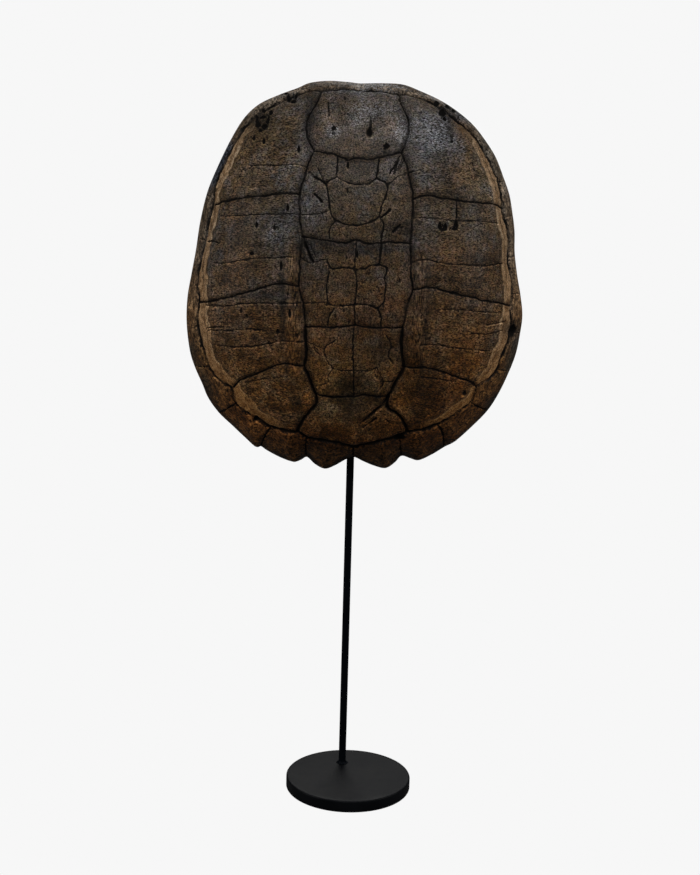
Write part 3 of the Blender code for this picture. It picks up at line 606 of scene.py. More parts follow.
def end_tree(tree, geometry, material):
    """Every tree ends with real geometry and its material."""
    real = add_node(tree, "GeometryNodeRealizeInstances", {"Geometry": geometry})
    painted = add_node(tree, "GeometryNodeSetMaterial",
                       {"Geometry": real.outputs[0], "Material": material})
    tree.links.new(painted.outputs[0], tree.nodes.new("NodeGroupOutput").inputs[0])


def wandering(tree, wobble, size, seed):
    """The plan position, pushed sideways by up to about `wobble` of smooth noise."""
    plan = read(tree, "plan", "FLOAT_VECTOR")
    place = vector_calc(tree, "DIVIDE", plan, join(tree, size, size, size))
    place = vector_calc(tree, "ADD", place, join(tree, seed, seed, seed))
    noise = add_node(tree, "ShaderNodeTexNoise", {"Vector": place, "Scale": 1.0, "Detail": 2.0})
    push = vector_calc(tree, "SUBTRACT", noise.outputs["Color"], (0.5, 0.5, 0.5))
    push = vector_calc(tree, "MULTIPLY", push, join(tree, wobble, 0.0, wobble))
    return vector_calc(tree, "ADD", plan, push)


def nearest_spot(tree, lines, place):
    """The Proximity node that finds the spot of some lines nearest to a place."""
    drawn = add_node(tree, "GeometryNodeObjectInfo", {"Object": lines}).outputs["Geometry"]
    return add_node(tree, "GeometryNodeProximity",
                    {"Geometry": drawn, "Sample Position": place}, target_element="EDGES")


print("helpers for trees ready")

# %% The carving tree
UNEVEN_SCALE = 0.11     # per millimetre: a groove changes its depth about every 9 mm
NOISE_STRETCH = 4.0     # noise keeps within about a quarter of its middle
carving, given = new_tree("carve along lines", [
    ("Lines", "Object", None), ("Half Width", "Float", 2.4),
    ("Depth", "Float", 1.9), ("Unevenness", "Float", 0.3),
    ("Swell", "Float", 0.0), ("Swell Reach", "Float", 13.0),
    ("Wobble", "Float", 1.0), ("Wobble Size", "Float", 6.0),
    ("Seed", "Float", 1.0), ("Where", "String", "outer"),
    ("Attribute", "String", "line"), ("Material", "Material", None)])
place = wandering(carving, given["Wobble"], given["Wobble Size"], given["Seed"])
near = nearest_spot(carving, given["Lines"], place)
distance = near.outputs["Distance"]
aside = split(carving, vector_calc(carving, "SUBTRACT", place, near.outputs["Position"]))
marks = join(carving, aside["X"], aside["Z"], distance)
noise = add_node(carving, "ShaderNodeTexNoise", {"Vector": place, "Scale": UNEVEN_SCALE})
uneven = calc(carving, "MULTIPLY_ADD", calc(carving, "SUBTRACT", noise.outputs[0], 0.5),
              times(carving, given["Unevenness"], NOISE_STRETCH), 1.0)
groove = times(carving, fade(carving, distance, 0.0, given["Half Width"], 1.0, 0.0), uneven,
               given["Depth"])
away = times(carving, calc(carving, "DIVIDE", distance, given["Swell Reach"]), -1.0)
swell = times(carving, given["Swell"],
              calc(carving, "SUBTRACT", 1.0, calc(carving, "EXPONENT", away)))
change = times(carving, calc(carving, "SUBTRACT", swell, groove), read(carving, given["Where"]))
geometry = write(carving, given["Geometry"], given["Attribute"], marks, "FLOAT_VECTOR")
geometry = write(carving, geometry, "lift", calc(carving, "ADD", read(carving, "lift"), change))
end_tree(carving, geometry, given["Material"])
print("carving tree:", len(carving.nodes), "nodes")

# %% Line objects and modifiers
def line_object(name, paths, closed=False):
    """Paths as a mesh of bare edges, in millimetres in the plan."""
    points, edges = [], []
    for path in paths:
        start = len(points)
        points += [(px, 0.0, pz) for px, pz in path]
        edges += [(k, k + 1) for k in range(start, len(points) - 1)]
        if closed:
            edges.append((len(points) - 1, start))
    mesh = bpy.data.meshes.new(name)
    mesh.from_pydata(points, edges, [])
    return add_object(name, mesh)


def add_tree(thing, tree, **values):
    """Put a tree on an object, with each input set by its socket's identifier."""
    modifier = thing.modifiers.new(tree.name, "NODES")
    modifier.node_group = tree
    for socket in tree.interface.items_tree:
        label = socket.name.replace(" ", "_").lower()
        if socket.in_out == "INPUT" and label in values:
            modifier[socket.identifier] = values[label]


bone = bpy.data.materials.new("waxed_bone")
helpers = []


def carve(name, drawn, closed=False, **values):
    lines = line_object(name, [smooth_path(line, 2.0, closed) for line in drawn], closed)
    helpers.append(lines)
    add_tree(shell, carving, lines=lines, attribute=name, material=bone, **values)
    print(f"{name}: {len(lines.data.edges)} edges")


carve("scute_swell", VERTEBRAL_SIDES + CROSSINGS + MARGINAL_SEAMS, half_width=0.01, depth=0.0,
      swell=1.0, wobble=0.0)

# %% Carve the lines
UPPER_SIDES = VERTEBRAL_SIDES[:3] + VERTEBRAL_SIDES[5:8]
LOWER_SIDES = VERTEBRAL_SIDES[3:5] + VERTEBRAL_SIDES[8:]
REAR_SEAMS = MARGINAL_SEAMS[:4] + MARGINAL_SEAMS[13:16]
FLANK_SEAMS = MARGINAL_SEAMS[4:13] + MARGINAL_SEAMS[16:]
REAR_RIM = [RIM_FURROW[RIM_FURROW.index((83, -140)):RIM_FURROW.index((-98, -136)) + 1]]
TOOTH_RIDGES = [
    [(32, -188), (27, -166)], [(66, -179), (64, -155)], [(101, -160), (96, -145)],
    [(-30, -189), (-25, -167)], [(-62, -183), (-66, -155)], [(-100, -168), (-104, -146)]]
TAIL_RIDGES = [[(-1, -116), (-1, -160)], [(-30, -114), (-26.5, -120), (-23, -129), (-23, -142)]]

# name, lines, half width, depth, unevenness, wobble, wobble size, seed
CARVED = [("sides", UPPER_SIDES, 2.2, 1.2, 0.7, 3.0, 7.0, 1.0),
          ("lower_sides", LOWER_SIDES, 3.2, 2.0, 0.5, 3.0, 7.0, 1.0),
          ("crossings", CROSSINGS, 1.7, 1.0, 0.7, 3.0, 6.0, 2.0),
          ("rim", [RIM_FURROW], 1.8, 1.3, 0.8, 2.4, 5.0, 3.0),
          ("rear_rim", REAR_RIM, 3.2, 0.9, 0.5, 2.4, 5.0, 3.0),
          ("seams", REAR_SEAMS, 1.6, 1.0, 0.6, 2.4, 4.0, 4.0),
          ("flank_seams", FLANK_SEAMS, 1.2, 0.4, 0.8, 2.4, 4.0, 8.0),
          ("gouges", GOUGES, 2.2, 1.3, 0.8, 2.2, 4.0, 5.0),
          ("gashes", GASHES, 1.6, 1.2, 0.6, 0.8, 3.0, 12.0),
          ("scratches", SCRATCHES, 1.3, 0.6, 0.9, 2.0, 3.0, 9.0),
          ("sutures", FINE_SUTURES, 1.2, 0.3, 0.8, 3.0, 4.0, 6.0),
          ("middle_sutures", MIDDLE_SUTURES, 1.4, 0.5, 0.8, 3.2, 4.5, 7.0),
          ("teeth", TOOTH_RIDGES, 10.0, -2.0, 0.3, 0.0, 6.0, 1.0),
          ("tail_ridges", TAIL_RIDGES, 4.0, -1.2, 0.6, 2.0, 6.0, 10.0)]
for name, drawn, half_width, depth, unevenness, wobble, wobble_size, seed in CARVED:
    carve(name, drawn, closed=name == "rim", half_width=half_width, depth=depth,
          unevenness=unevenness, wobble=wobble, wobble_size=wobble_size, seed=seed)
print(len(CARVED), "families of lines carved")

# %% [markdown]
# Pits
#
# Worms, weather and the living animal left pits: a few wide ones, and many small ones
# shaped like drops, narrower at the top. A tree presses them at given points. Each
# point carries its own half width, half height and depth, and every place of the shell
# looks up the pit that is nearest to it.

# %% The pits
# x, z, half width, half height, depth
PITS = [
    (155, -46, 4.2, 6.5, 4.2), (-97, 149, 3.2, 2.6, 2.6), (-90, 147, 3.4, 2.2, 2.6),
    (-99, 155, 1.6, 3.2, 1.8), (-87, 153, 1.8, 3.4, 1.8), (-93, 157, 3.8, 1.6, 1.8),
    (-94, 143, 2.6, 1.4, 1.6), (-85, 161, 2.2, 2.4, 1.8), (-92, 163, 2.0, 1.4, 1.4),
    (-68, 174, 2.2, 3.2, 2.4), (-63, 171, 3.2, 1.6, 2.0), (-61, 176, 1.4, 2.6, 1.6),
    (-71, 179, 3.0, 1.2, 1.4), (-100, 136, 1.6, 2.2, 1.2), (-90, 133, 1.6, 2.8, 1.4),
    (-100, 91, 2.8, 2.6, 0.6), (-56, 125, 1.5, 3.4, 1.6), (-65, 71, 1.8, 3.2, 1.6),
    (-95, 55, 1.6, 2.8, 1.4), (-78, 53, 1.4, 2.4, 1.2), (-74, 52, 1.0, 1.8, 0.9),
    (-99, 28, 2.8, 1.8, 1.4), (-71, 18, 1.6, 4.0, 1.6), (-109.5, -26, 1.6, 2.6, 1.1),
    (-104, -31, 1.4, 2.2, 1.1), (-106, -33, 2.0, 0.9, 0.8), (-62, -26, 1.6, 3.6, 1.6),
    (-74, -44, 1.8, 2.6, 1.2), (-64, -8, 1.2, 1.8, 1.0), (-55, -47, 1.2, 1.8, 1.0),
    (10, 143, 3.0, 4.2, 2.4), (11, 152, 1.3, 6.0, 1.0), (26, 130, 3.6, 2.2, 1.7),
    (24, 124, 1.4, 1.6, 0.9), (-24, 146, 2.4, 2.0, 1.2), (-24, 141, 2.0, 1.6, 1.0),
    (-14, 174, 1.2, 1.8, 0.9), (-16, 164, 1.2, 2.0, 0.9), (38, 174, 1.4, 1.8, 0.9),
    (-10, 112, 1.3, 3.4, 1.4), (-10, 88, 1.2, 2.4, 1.1), (76.5, 56.5, 1.9, 3.2, 1.7),
    (82, 55, 2.1, 3.4, 1.7), (79.5, 52.8, 3.0, 1.5, 1.2), (92, 57, 2.3, 4.8, 2.0),
    (90.4, 53.6, 2.6, 1.5, 1.4), (93, 70, 0.9, 12.0, 1.3), (44, -152, 6.5, 3.4, 2.0),
    (72, 129, 1.2, 1.6, 0.9), (54, 138, 1.2, 1.8, 0.9), (112, 103, 2.4, 2.4, 0.6),
    (0, 30, 1.3, 3.2, 1.4), (-10, 27, 1.1, 1.8, 0.9), (11, 12, 1.1, 1.8, 0.9),
    (5, 4, 1.1, 1.8, 0.9), (19, 0, 1.2, 1.6, 0.9), (12, 18, 1.1, 1.6, 0.9),
    (40, 6, 1.2, 2.0, 1.0), (-28, -17, 1.4, 1.8, 0.9), (-12, -23, 1.3, 1.8, 1.0),
    (-20, -28, 1.2, 1.8, 0.9), (-7, -34, 1.3, 1.6, 0.9), (25, -18, 1.3, 1.8, 0.9),
    (22, -28, 1.3, 2.0, 1.0), (60, -28, 1.2, 1.8, 0.9), (107, -106, 2.4, 2.4, 1.2),
    (-18, -166, 1.5, 1.5, 1.0), (-98, -136, 3.2, 3.0, 2.0), (74, 171, 2.8, 2.4, 1.8),
    (80, 163, 4.0, 3.4, 2.2), (85, 169, 3.0, 2.6, 1.8), (91, 165, 2.4, 2.2, 1.6),
    (82, 157, 2.2, 2.0, 1.4), (88, 140, 1.8, 1.8, 0.9), (88, 135, 1.6, 1.8, 0.9)]
pit_mesh = bpy.data.meshes.new("pits")
pit_mesh.from_pydata([(row[0], 0.0, row[1]) for row in PITS], [], [])
store(pit_mesh, "size", [row[2:] for row in PITS], "FLOAT_VECTOR")
pit_points = add_object("pits", pit_mesh)
helpers.append(pit_points)
print(len(PITS), "pits")

# %% The tree that presses them
pitting, given = new_tree("press pits", [
    ("Points", "Object", None), ("Wobble", "Float", 0.7), ("Taper", "Float", 0.6),
    ("Wobble Size", "Float", 4.0), ("Seed", "Float", 11.0), ("Material", "Material", None)])
place = wandering(pitting, given["Wobble"], given["Wobble Size"], given["Seed"])
cloud = add_node(pitting, "GeometryNodeObjectInfo",
                 {"Object": given["Points"]}).outputs["Geometry"]
index = add_node(pitting, "GeometryNodeSampleNearest", {0: cloud, 1: place}).outputs[0]


def at_nearest(value):
    """A vector of the pit that is nearest."""
    looked_up = add_node(pitting, "GeometryNodeSampleIndex", {"Geometry": cloud},
                         data_type="FLOAT_VECTOR")
    pitting.links.new(value, looked_up.inputs["Value"])
    pitting.links.new(index, looked_up.inputs["Index"])
    return looked_up.outputs["Value"]


centre = at_nearest(add_node(pitting, "GeometryNodeInputPosition").outputs[0])
size = split(pitting, at_nearest(read(pitting, "size", "FLOAT_VECTOR")))
# `aside` is how far out a place lies, as a share of the pit: its length is 1 on the brim
aside = vector_calc(pitting, "SUBTRACT", place, centre)
aside = vector_calc(pitting, "DIVIDE", aside, join(pitting, size["X"], 1.0, size["Y"]))
narrower = fade(pitting, split(pitting, aside)["Z"], -0.5, 1.0, 1.0, given["Taper"])
aside = vector_calc(pitting, "DIVIDE", aside, join(pitting, narrower, 1.0, 1.0))
out = length_of(pitting, aside)
parts = split(pitting, aside)
dent = times(pitting, fade(pitting, out, 0.15, 1.15, 1.0, 0.0), size["Z"],
             read(pitting, "outer"))
geometry = write(pitting, given["Geometry"], "pit",
                 join(pitting, parts["X"], parts["Z"], out), "FLOAT_VECTOR")
geometry = write(pitting, geometry, "pit_depth", size["Z"])
geometry = write(pitting, geometry, "lift",
                 calc(pitting, "SUBTRACT", read(pitting, "lift"), dent))
end_tree(pitting, geometry, given["Material"])
add_tree(shell, pitting, points=pit_points, material=bone)
print("pit tree:", len(pitting.nodes), "nodes")

# %% [markdown]
# The inside: ribs and backbone
#
# In a turtle the ribs and the backbone are fused to the shell. Behind the dome the
# backbone runs from neck to tail as a low column, and eight ribs a side leave it. A
# second tree raises them: the ribs get lower on their way out, and the column swells
# once for every vertebra.

# %% Lines of the ribs
# height where a rib leaves the backbone, then x and height of its outer end
RIBS = [
    (122, (104, 134)), (86, (128, 88)), (45, (137, 40)), (3, (143, -6)),
    (-36, (140, -48)), (-70, (126, -86)), (-97, (98, -114)), (-120, (60, -134))]
COLUMN_CREST_HALF, COLUMN_FOOT_HALF, COLUMN_HEIGHT = 6.5, 13.0, 15.0

rib_lines = []
for start_z, (end_x, end_z) in RIBS:
    bend = (0.5 * end_x, 0.65 * start_z + 0.35 * end_z)
    for side in (1, -1):
        rib_lines.append(smooth_path([(side * COLUMN_CREST_HALF, start_z),
                                      (side * bend[0], bend[1]), (side * end_x, end_z)], 3.0))
ribs = line_object("ribs", rib_lines)
helpers.append(ribs)
print(len(rib_lines), "ribs")

# %% Raise the ribs and the backbone
RIB_FALL = 120.0        # mm from the column to where a rib is lowest
RIB_WOBBLE, RIB_WOBBLE_SIZE, RIB_SEED = 1.0, 12.0, 21.0
VERTEBRA_LENGTH, VERTEBRA_SWELL, SEAT_Z = 38.0, 0.14, 10.0
COLUMN_ENDS, COLUMN_TAPER = 150.0, 30.0

ribbing, given = new_tree("raise ribs and backbone", [
    ("Ribs", "Object", None), ("Rib Half Width", "Float", 7.0),
    ("Height At Backbone", "Float", 6.5), ("Height At End", "Float", 1.2),
    ("Column Height", "Float", COLUMN_HEIGHT), ("Material", "Material", None)])
place = wandering(ribbing, RIB_WOBBLE, RIB_WOBBLE_SIZE, RIB_SEED)
near = nearest_spot(ribbing, given["Ribs"], place)
axes = split(ribbing, place)
across, along = calc(ribbing, "ABSOLUTE", axes["X"]), calc(ribbing, "ABSOLUTE", axes["Z"])
gone = calc(ribbing, "DIVIDE", calc(ribbing, "SUBTRACT", across, COLUMN_CREST_HALF), RIB_FALL,
            clamp=True)
fall = calc(ribbing, "SUBTRACT", given["Height At End"], given["Height At Backbone"])
high = calc(ribbing, "MULTIPLY_ADD", fall, gone, given["Height At Backbone"])
part = calc(ribbing, "DIVIDE", near.outputs["Distance"], given["Rib Half Width"])
rib = calc(ribbing, "SUBTRACT", 1.0, times(ribbing, part, part), clamp=True)
turns = times(ribbing, calc(ribbing, "SUBTRACT", axes["Z"], SEAT_Z),
              2 * math.pi / VERTEBRA_LENGTH)
beat = calc(ribbing, "MULTIPLY_ADD", calc(ribbing, "COSINE", turns), VERTEBRA_SWELL, 1.0)
column = times(ribbing,
               fade(ribbing, across, COLUMN_CREST_HALF - 1.5, COLUMN_FOOT_HALF + 1.0, 1.0, 0.0),
               fade(ribbing, along, COLUMN_ENDS - COLUMN_TAPER, COLUMN_ENDS, 1.0, 0.0),
               beat, given["Column Height"])
raised = times(ribbing, calc(ribbing, "MAXIMUM", times(ribbing, rib, high), column),
               read(ribbing, "inner"))
geometry = write(ribbing, given["Geometry"], "lift",
                 calc(ribbing, "ADD", read(ribbing, "lift"), raised))
geometry = write(ribbing, geometry, "bony", raised)
end_tree(ribbing, geometry, given["Material"])
add_tree(shell, ribbing, ribs=ribs, material=bone)
print("rib tree:", len(ribbing.nodes), "nodes")

# %% [markdown]
# Uneven bone, and the lift itself
#
# No grown surface is as smooth as a formula. The last tree adds three sizes of noise,
# from shallow waves a thumb wide down to grains the mesh can just hold, and then moves
# every point by its `lift` along the normal of the smooth dome. Doing that once, at the
# end, keeps the grooves square to the surface. The lift fades out at the very edge, so
# the outline stays that of the CAD model.

# %% Roughen and lift
EDGE_FADE = 4.0         # mm from the edge over which the lift fades in
NOISE_SIZES = (("Wave", 24.0), ("Lump", 8.0), ("Grain", 3.2))
lifting, given = new_tree("roughen and lift", [
    ("Wave", "Float", 1.2), ("Lump", "Float", 0.8), ("Grain", "Float", 0.34),
    ("Seed", "Float", 31.0), ("Material", "Material", None)])
position = add_node(lifting, "GeometryNodeInputPosition").outputs[0]
total = read(lifting, "lift")
for label, size_mm in NOISE_SIZES:
    spot = vector_calc(lifting, "ADD", position, join(lifting, given["Seed"], 0.0, 0.0))
    bumps = add_node(lifting, "ShaderNodeTexNoise",
                     {"Vector": spot, "Scale": 1000 / size_mm, "Detail": 1.0}).outputs[0]
    bumps = calc(lifting, "SUBTRACT", bumps, 0.5)
    total = calc(lifting, "MULTIPLY_ADD", bumps, given[label], total)
normal = add_node(lifting, "GeometryNodeInputNormal").outputs[0]
push = add_node(lifting, "ShaderNodeVectorMath", {0: normal}, operation="SCALE")
lifting.links.new(times(lifting, total, read(lifting, "edge_share"), MM), push.inputs["Scale"])
moved = add_node(lifting, "GeometryNodeSetPosition",
                 {"Geometry": given["Geometry"], "Offset": push.outputs[0]})
end_tree(lifting, moved.outputs[0], given["Material"])

reach = np.where(is_inner > 0, RIM_WALL, 0.0)
to_edge = edge_radius(angle) - reach - np.hypot(x, z)
store(shell_mesh, "edge_share", ramp(0.0, EDGE_FADE, to_edge) * (is_outer + is_inner))
add_tree(shell, lifting, material=bone)
print("lift tree:", len(lifting.nodes), "nodes")

# %% [markdown]
# Zones of colour
#
# The colour of the real shell changes from place to place: greyer where the wax is
# worn, warmer where the bone is bare, nearly black where dirt has settled, and darker
# as painted shade in hollows, below crossings and beside the keels. A few soft ovals,
# drawn one by one, say where. They blur into each other and the material breaks up
# their edges with noise, so no oval is seen. The strengths are stored with each point,
# three to a vector, because the material can read attributes but no lists.

# %% Grey, warm and dark places
# x, z, half width, half height, strength
GREY = [(70, 140, 34, 30, 0.9), (0, 186, 46, 10, 0.9), (10, 158, 44, 26, 0.5),
        (-72, 42, 26, 30, 0.7), (-88, -12, 34, 13, 0.8), (10, 100, 50, 30, 0.3),
        (-40, 70, 20, 24, 0.5), (-158, -70, 10, 50, 0.7), (60, 60, 22, 30, 0.4),
        (22, -124, 36, 10, 1.0), (-46, 136, 22, 24, 0.6)]
WARM = [(-12, 49, 14, 8, 1.0), (12, 50, 10, 8, 0.9), (0, 22, 24, 6, 0.7),
        (108, 138, 12, 14, 0.9), (98, 104, 26, 14, 0.9), (-22, 154, 16, 12, 0.7),
        (-40, 140, 8, 12, 0.6), (28, 148, 12, 10, 0.7), (10, 127, 24, 7, 0.5),
        (5, -8, 30, 38, 0.5), (-60, 22, 7, 26, 0.9), (-61, -50, 6, 30, 0.7),
        (-46, -114, 5, 10, 1.2), (43, -115, 6, 10, 0.9), (-82, 148, 30, 26, 0.5),
        (-34, -52, 16, 14, 0.9), (105, -52, 36, 34, 0.8), (24, -132, 32, 22, 1.0),
        (104, 150, 9, 10, 1.0), (0, -158, 44, 4, 0.8), (-100, 20, 30, 22, 0.5),
        (-100, -60, 34, 26, 0.5), (-60, -125, 40, 18, 0.4), (-20, 32, 26, 12, 0.5)]
# dark places: stains, and painted shade in hollows, below crossings and beside keels
DARK_STAINS_AND_SHADE = [(122, 24, 26, 7, 0.8), (-4, -96, 18, 9, 1.1), (24, -62, 16, 14, 0.5),
        (-30, 36, 24, 5, 1.1), (42, 52, 9, 6, 0.7), (18, 160, 8, 12, 0.6),
        (4, -112, 28, 6, 1.4), (0, -128, 20, 12, 0.7), (-54, -114, 5, 6, 0.9),
        (-86, -11, 26, 5, 0.9), (62, -14, 12, 14, 0.6), (-62, 60, 10, 16, 0.4),
        (-70, 8, 3, 40, 0.8), (-69, -34, 3, 26, 0.9), (-65, -76, 2.5, 9, 1.4),
        (66, 12, 4, 12, 0.9), (65, -41, 3, 12, 1.2), (62, -76, 2.5, 10, 1.4),
        (0, 60, 52, 70, 0.15), (0, -20, 50, 90, 0.30), (-54, 92, 6, 22, 0.4),
        (0, 34, 46, 5, 0.7), (84, 150, 8, 14, 1.0), (28, 54, 22, 8, 0.5),
        (-76, 66, 14, 10, 0.5), (-92, 152, 13, 11, 0.9), (-65, 175, 10, 7, 0.8),
        (84, 166, 14, 9, 0.8), (0, -170, 120, 16, 0.4), (160, -110, 20, 50, 0.4),
        (-44, 30, 10, 22, 0.7), (152, -44, 12, 12, 0.9), (-46, 158, 7, 26, 1.0),
        (45, 156, 7, 20, 0.4)]


def soft_sum(ovals):
    """The strengths of all the ovals at each point of the shell."""
    return sum(strength * np.exp(-((x - cx) / half_width) ** 2 - ((z - cz) / half_height) ** 2)
               for cx, cz, half_width, half_height, strength in ovals)


def zone(ovals):
    """A mask of the ovals, held between nothing and a bit more than full."""
    return np.clip(soft_sum(ovals), 0, 1.2)


store(shell_mesh, "tones", np.column_stack([zone(GREY), zone(WARM), zone(DARK_STAINS_AND_SHADE)]), "FLOAT_VECTOR")
print(len(GREY), "grey,", len(WARM), "warm and", len(DARK_STAINS_AND_SHADE), "dark ovals")

# %% [markdown]
# Shine and age
#
# Where the wax is whole, mostly near the neck, its glints are painted into the colour as
# pale highlights, and the wax coat is thicker there. Along the sides the rim has gone
# almost black. And the bone gets browner and coarser towards the rear, so a third value
# rises from 0 above the middle to 1 at the tail.

# %% Wax, black rim and rear
# where pale glints are painted in as highlights, and where the wax coat is heavier
GLINTS = [(0, 150, 60, 30, 0.5), (18, 187, 30, 7, 1.2), (74, 142, 22, 24, 0.9),
          (40, 142, 8, 12, 0.8), (128, 88, 8, 22, 0.5), (-80, 42, 14, 16, 0.6),
          (10, 165, 24, 12, 0.5), (-80, -12, 12, 6, 0.4), (100, 128, 5, 12, 0.7),
          (-24, 143, 6, 5, 0.9)]
BLACK_RIM = [(-140, 120, 22, 40, 1.0), (-168, -76, 14, 30, 0.7),
             (100, 160, 20, 12, 0.6), (150, 90, 12, 30, 0.4), (160, -80, 16, 40, 0.8),
             (140, -125, 16, 16, 0.8), (-148, -110, 14, 20, 0.6)]
rear_share = 0.35 * ramp(60, -40, z) + 0.65 * ramp(-45, -120, z)
store(shell_mesh, "glints_and_wear", np.column_stack([zone(GLINTS), zone(BLACK_RIM), rear_share]),
      "FLOAT_VECTOR")
print(len(GLINTS), "glinting and", len(BLACK_RIM), "black ovals")

# %% [markdown]
# The bare band and the run of the grain
#
# Between the side plates and the rim a pale band lies open, where the ends of the ribs
# show. Its inner edge is drawn. Each point gets its distance past that edge, its
# distance inside the rim furrow, and how far it is on a flank at all, so the material
# can place the band's own fine lines. A second vector tells where the grain runs
# outwards, on the side plates, and where it stands upright, on the keels.

# %% Bare band and grain
BAND_LEFT = [
    (-112, 140), (-120, 118), (-131, 98), (-138, 80), (-138, 60), (-144, 44), (-147, 30),
    (-148, 10), (-148, -5), (-146, -20), (-146, -35), (-144, -50), (-142, -65), (-136, -80),
    (-127, -92), (-118, -100), (-108, -112), (-97, -124), (-85, -134), (-70, -141)]
BAND_RIGHT = [
    (90, 158), (100, 147), (110, 138), (118, 125), (122, 112), (128, 100), (133, 88),
    (134, 75), (137, 60), (141, 45), (143, 30), (143, 15), (144, 0), (145, -15), (143, -35),
    (141, -50), (137, -62), (133, -76), (125, -86), (119, -97), (112, -110), (103, -118),
    (92, -126), (80, -135), (65, -142)]
inner_edge = np.vstack([smooth_path(BAND_LEFT, 2.0), smooth_path(BAND_RIGHT[::-1], 2.0)])
order = np.argsort(np.arctan2(inner_edge[:, 1], inner_edge[:, 0]))
band_radius = radius_table(inner_edge[order])
in_band = np.hypot(x, z) - band_radius(angle)
flanks = np.where(z > 0, ramp(0.53, 0.72, sideways), ramp(0.42, 0.52, sideways))
store(shell_mesh, "band", np.column_stack([in_band, inside_rim, flanks]), "FLOAT_VECTOR")

side_plates = ramp(50, 60, np.abs(x)) * ramp(-2, 4, -in_band)
keels = np.exp(-((np.abs(x) - SIDE_KEEL_X) / SIDE_KEEL_SPREAD) ** 2)
keels = keels * ramp(45, 15, z) * ramp(-100, -70, z)
store(shell_mesh, "grain", np.column_stack([side_plates, keels, is_outer]), "FLOAT_VECTOR")
print(f"{(in_band > 0).mean():.0%} of the points lie past the band's inner edge")

# %% [markdown]
# Lighter and darker, redder and cooler
#
# What is left are lighter and darker places, partly the bone's own tone and partly painted
# light and shade: a paler plate, a flank painted lighter as if lit from the side, and a
# rear rim painted darker, partly worn and partly as shade where it turns away from the light.
# One factor for each point holds them all, and a vector of three factors does the same
# for the hue. Its red and its blue go opposite ways, so the brightness stays.

# %% Shades and tints
# lighter and darker places, partly the bone's tone and partly painted light and shade
# x, z, half width, half height, how much lighter (or darker, below 0)
SHADES = [(0, 5, 150, 62, -0.12), (0, 112, 26, 13, -0.6), (-12, 84, 30, 16, -0.30),
          (-96, 143, 20, 18, -0.34), (0, 190, 90, 8, -0.3), (-84, 104, 24, 22, 0.38),
          (-60, 76, 16, 24, 0.34), (64, 150, 20, 20, 0.14), (-128, 84, 14, 26, 0.20),
          (134, 90, 12, 26, 0.85), (70, -98, 24, 24, -0.50), (57, -62, 13, 28, -0.44),
          (84, -136, 30, 16, -0.14), (-60, -60, 12, 36, -0.22), (-60, -4, 10, 22, -0.15),
          (-28, -98, 16, 18, 0.9), (-106, -134, 18, 20, 0.32), (-78, -150, 24, 10, 0.42),
          (-38, -152, 16, 10, -0.52), (38, -150, 14, 10, -0.3), (128, -60, 22, 70, 0.16),
          (90, -6, 26, 12, -0.12), (43, -115, 7, 9, 0.85), (-46, -114, 6, 9, 0.75),
          (-1, -140, 3, 18, 0.6), (0, -160, 70, 6, -0.35), (-100, 42, 24, 14, -0.12),
          (30, -45, 20, 40, -0.10), (10, -30, 20, 20, -0.27), (-60, 92, 10, 30, 0.18),
          (60, 100, 12, 40, 0.14), (122, 20, 14, 60, 0.22), (-118, -40, 26, 24, -0.14),
          (62, 162, 30, 12, 0.15), (-110, 160, 30, 20, -0.12), (0, -145, 46, 18, -0.20),
          (12, -124, 8, 9, 0.7), (80, -105, 20, 14, -0.3), (-166, -30, 10, 20, 0.5),
          (-163, 30, 8, 50, 0.3), (158, -5, 8, 34, 0.9), (148, 60, 10, 34, 0.7),
          (56, 70, 8, 40, 0.15), (0, -176, 110, 12, -0.2), (118, 100, 22, 20, 0.26),
          (34, 50, 14, 24, 0.18), (-25, 59, 13, 13, -0.18), (140, -90, 16, 34, -0.26),
          (-153, -72, 12, 30, -0.4), (-118, 36, 12, 22, -0.16), (-52, -121, 16, 12, -0.2),
          (-118, -64, 14, 16, -0.2), (34, -138, 16, 9, -0.2)]

# x, z, half width, half height, how much redder (or cooler, below 0)
TINTS = [(88, 28, 44, 18, 0.20), (32, -8, 16, 18, 0.18), (8, -32, 16, 12, 0.16),
         (-116, 44, 14, 52, 0.16), (-85, 149, 18, 14, -0.12), (124, 108, 14, 28, -0.16),
         (94, 149, 12, 12, 0.13), (-10, -106, 26, 28, -0.17), (108, -34, 26, 12, -0.10),
         (92, -106, 18, 26, 0.14), (-38, -152, 36, 15, 0.20), (62, -154, 38, 16, 0.15),
         (-105, -135, 30, 16, 0.12)]
LIT_FLANK, REAR_PLATES_DARKER, REAR_EDGE_DARKER, REAR_REDDER = 0.10, 0.41, 0.46, 0.12

# painted light: the flanks near the bare band are made lighter, as if lit from the side
lit_flank = LIT_FLANK * ramp(-30, -6, in_band) * ramp(0.35, 0.6, sideways)
# painted shade, partly wear: rear plates and rear edge darker, turned away from the light
at_rear = ramp(-84, -125, z)
rear_plates = at_rear * ramp(2, -2, inside_rim)
rear_edge = at_rear * ramp(10, 1, edge_radius(angle) - np.hypot(x, z))
darker_rear = 1 - REAR_PLATES_DARKER * rear_plates - REAR_EDGE_DARKER * rear_edge
shade = np.clip(1 + soft_sum(SHADES) + lit_flank, 0.4, 1.8) * darker_rear
store(shell_mesh, "shade", shade)
redder = REAR_REDDER * rear_plates + soft_sum(TINTS)
store(shell_mesh, "tint", np.column_stack([np.exp(redder), np.ones(len(x)), np.exp(-redder)]),
      "FLOAT_VECTOR")
print(f"shade from {shade.min():.2f} to {shade.max():.2f}")

# %% [markdown]
# From modifiers to a plain mesh
#
# The stack of trees is evaluated once and the result becomes an ordinary mesh. The
# seat of the mounting plate is then levelled, as on the CAD model, and the shell is
# put in its place: its object stays at the origin, and its place is in its points.

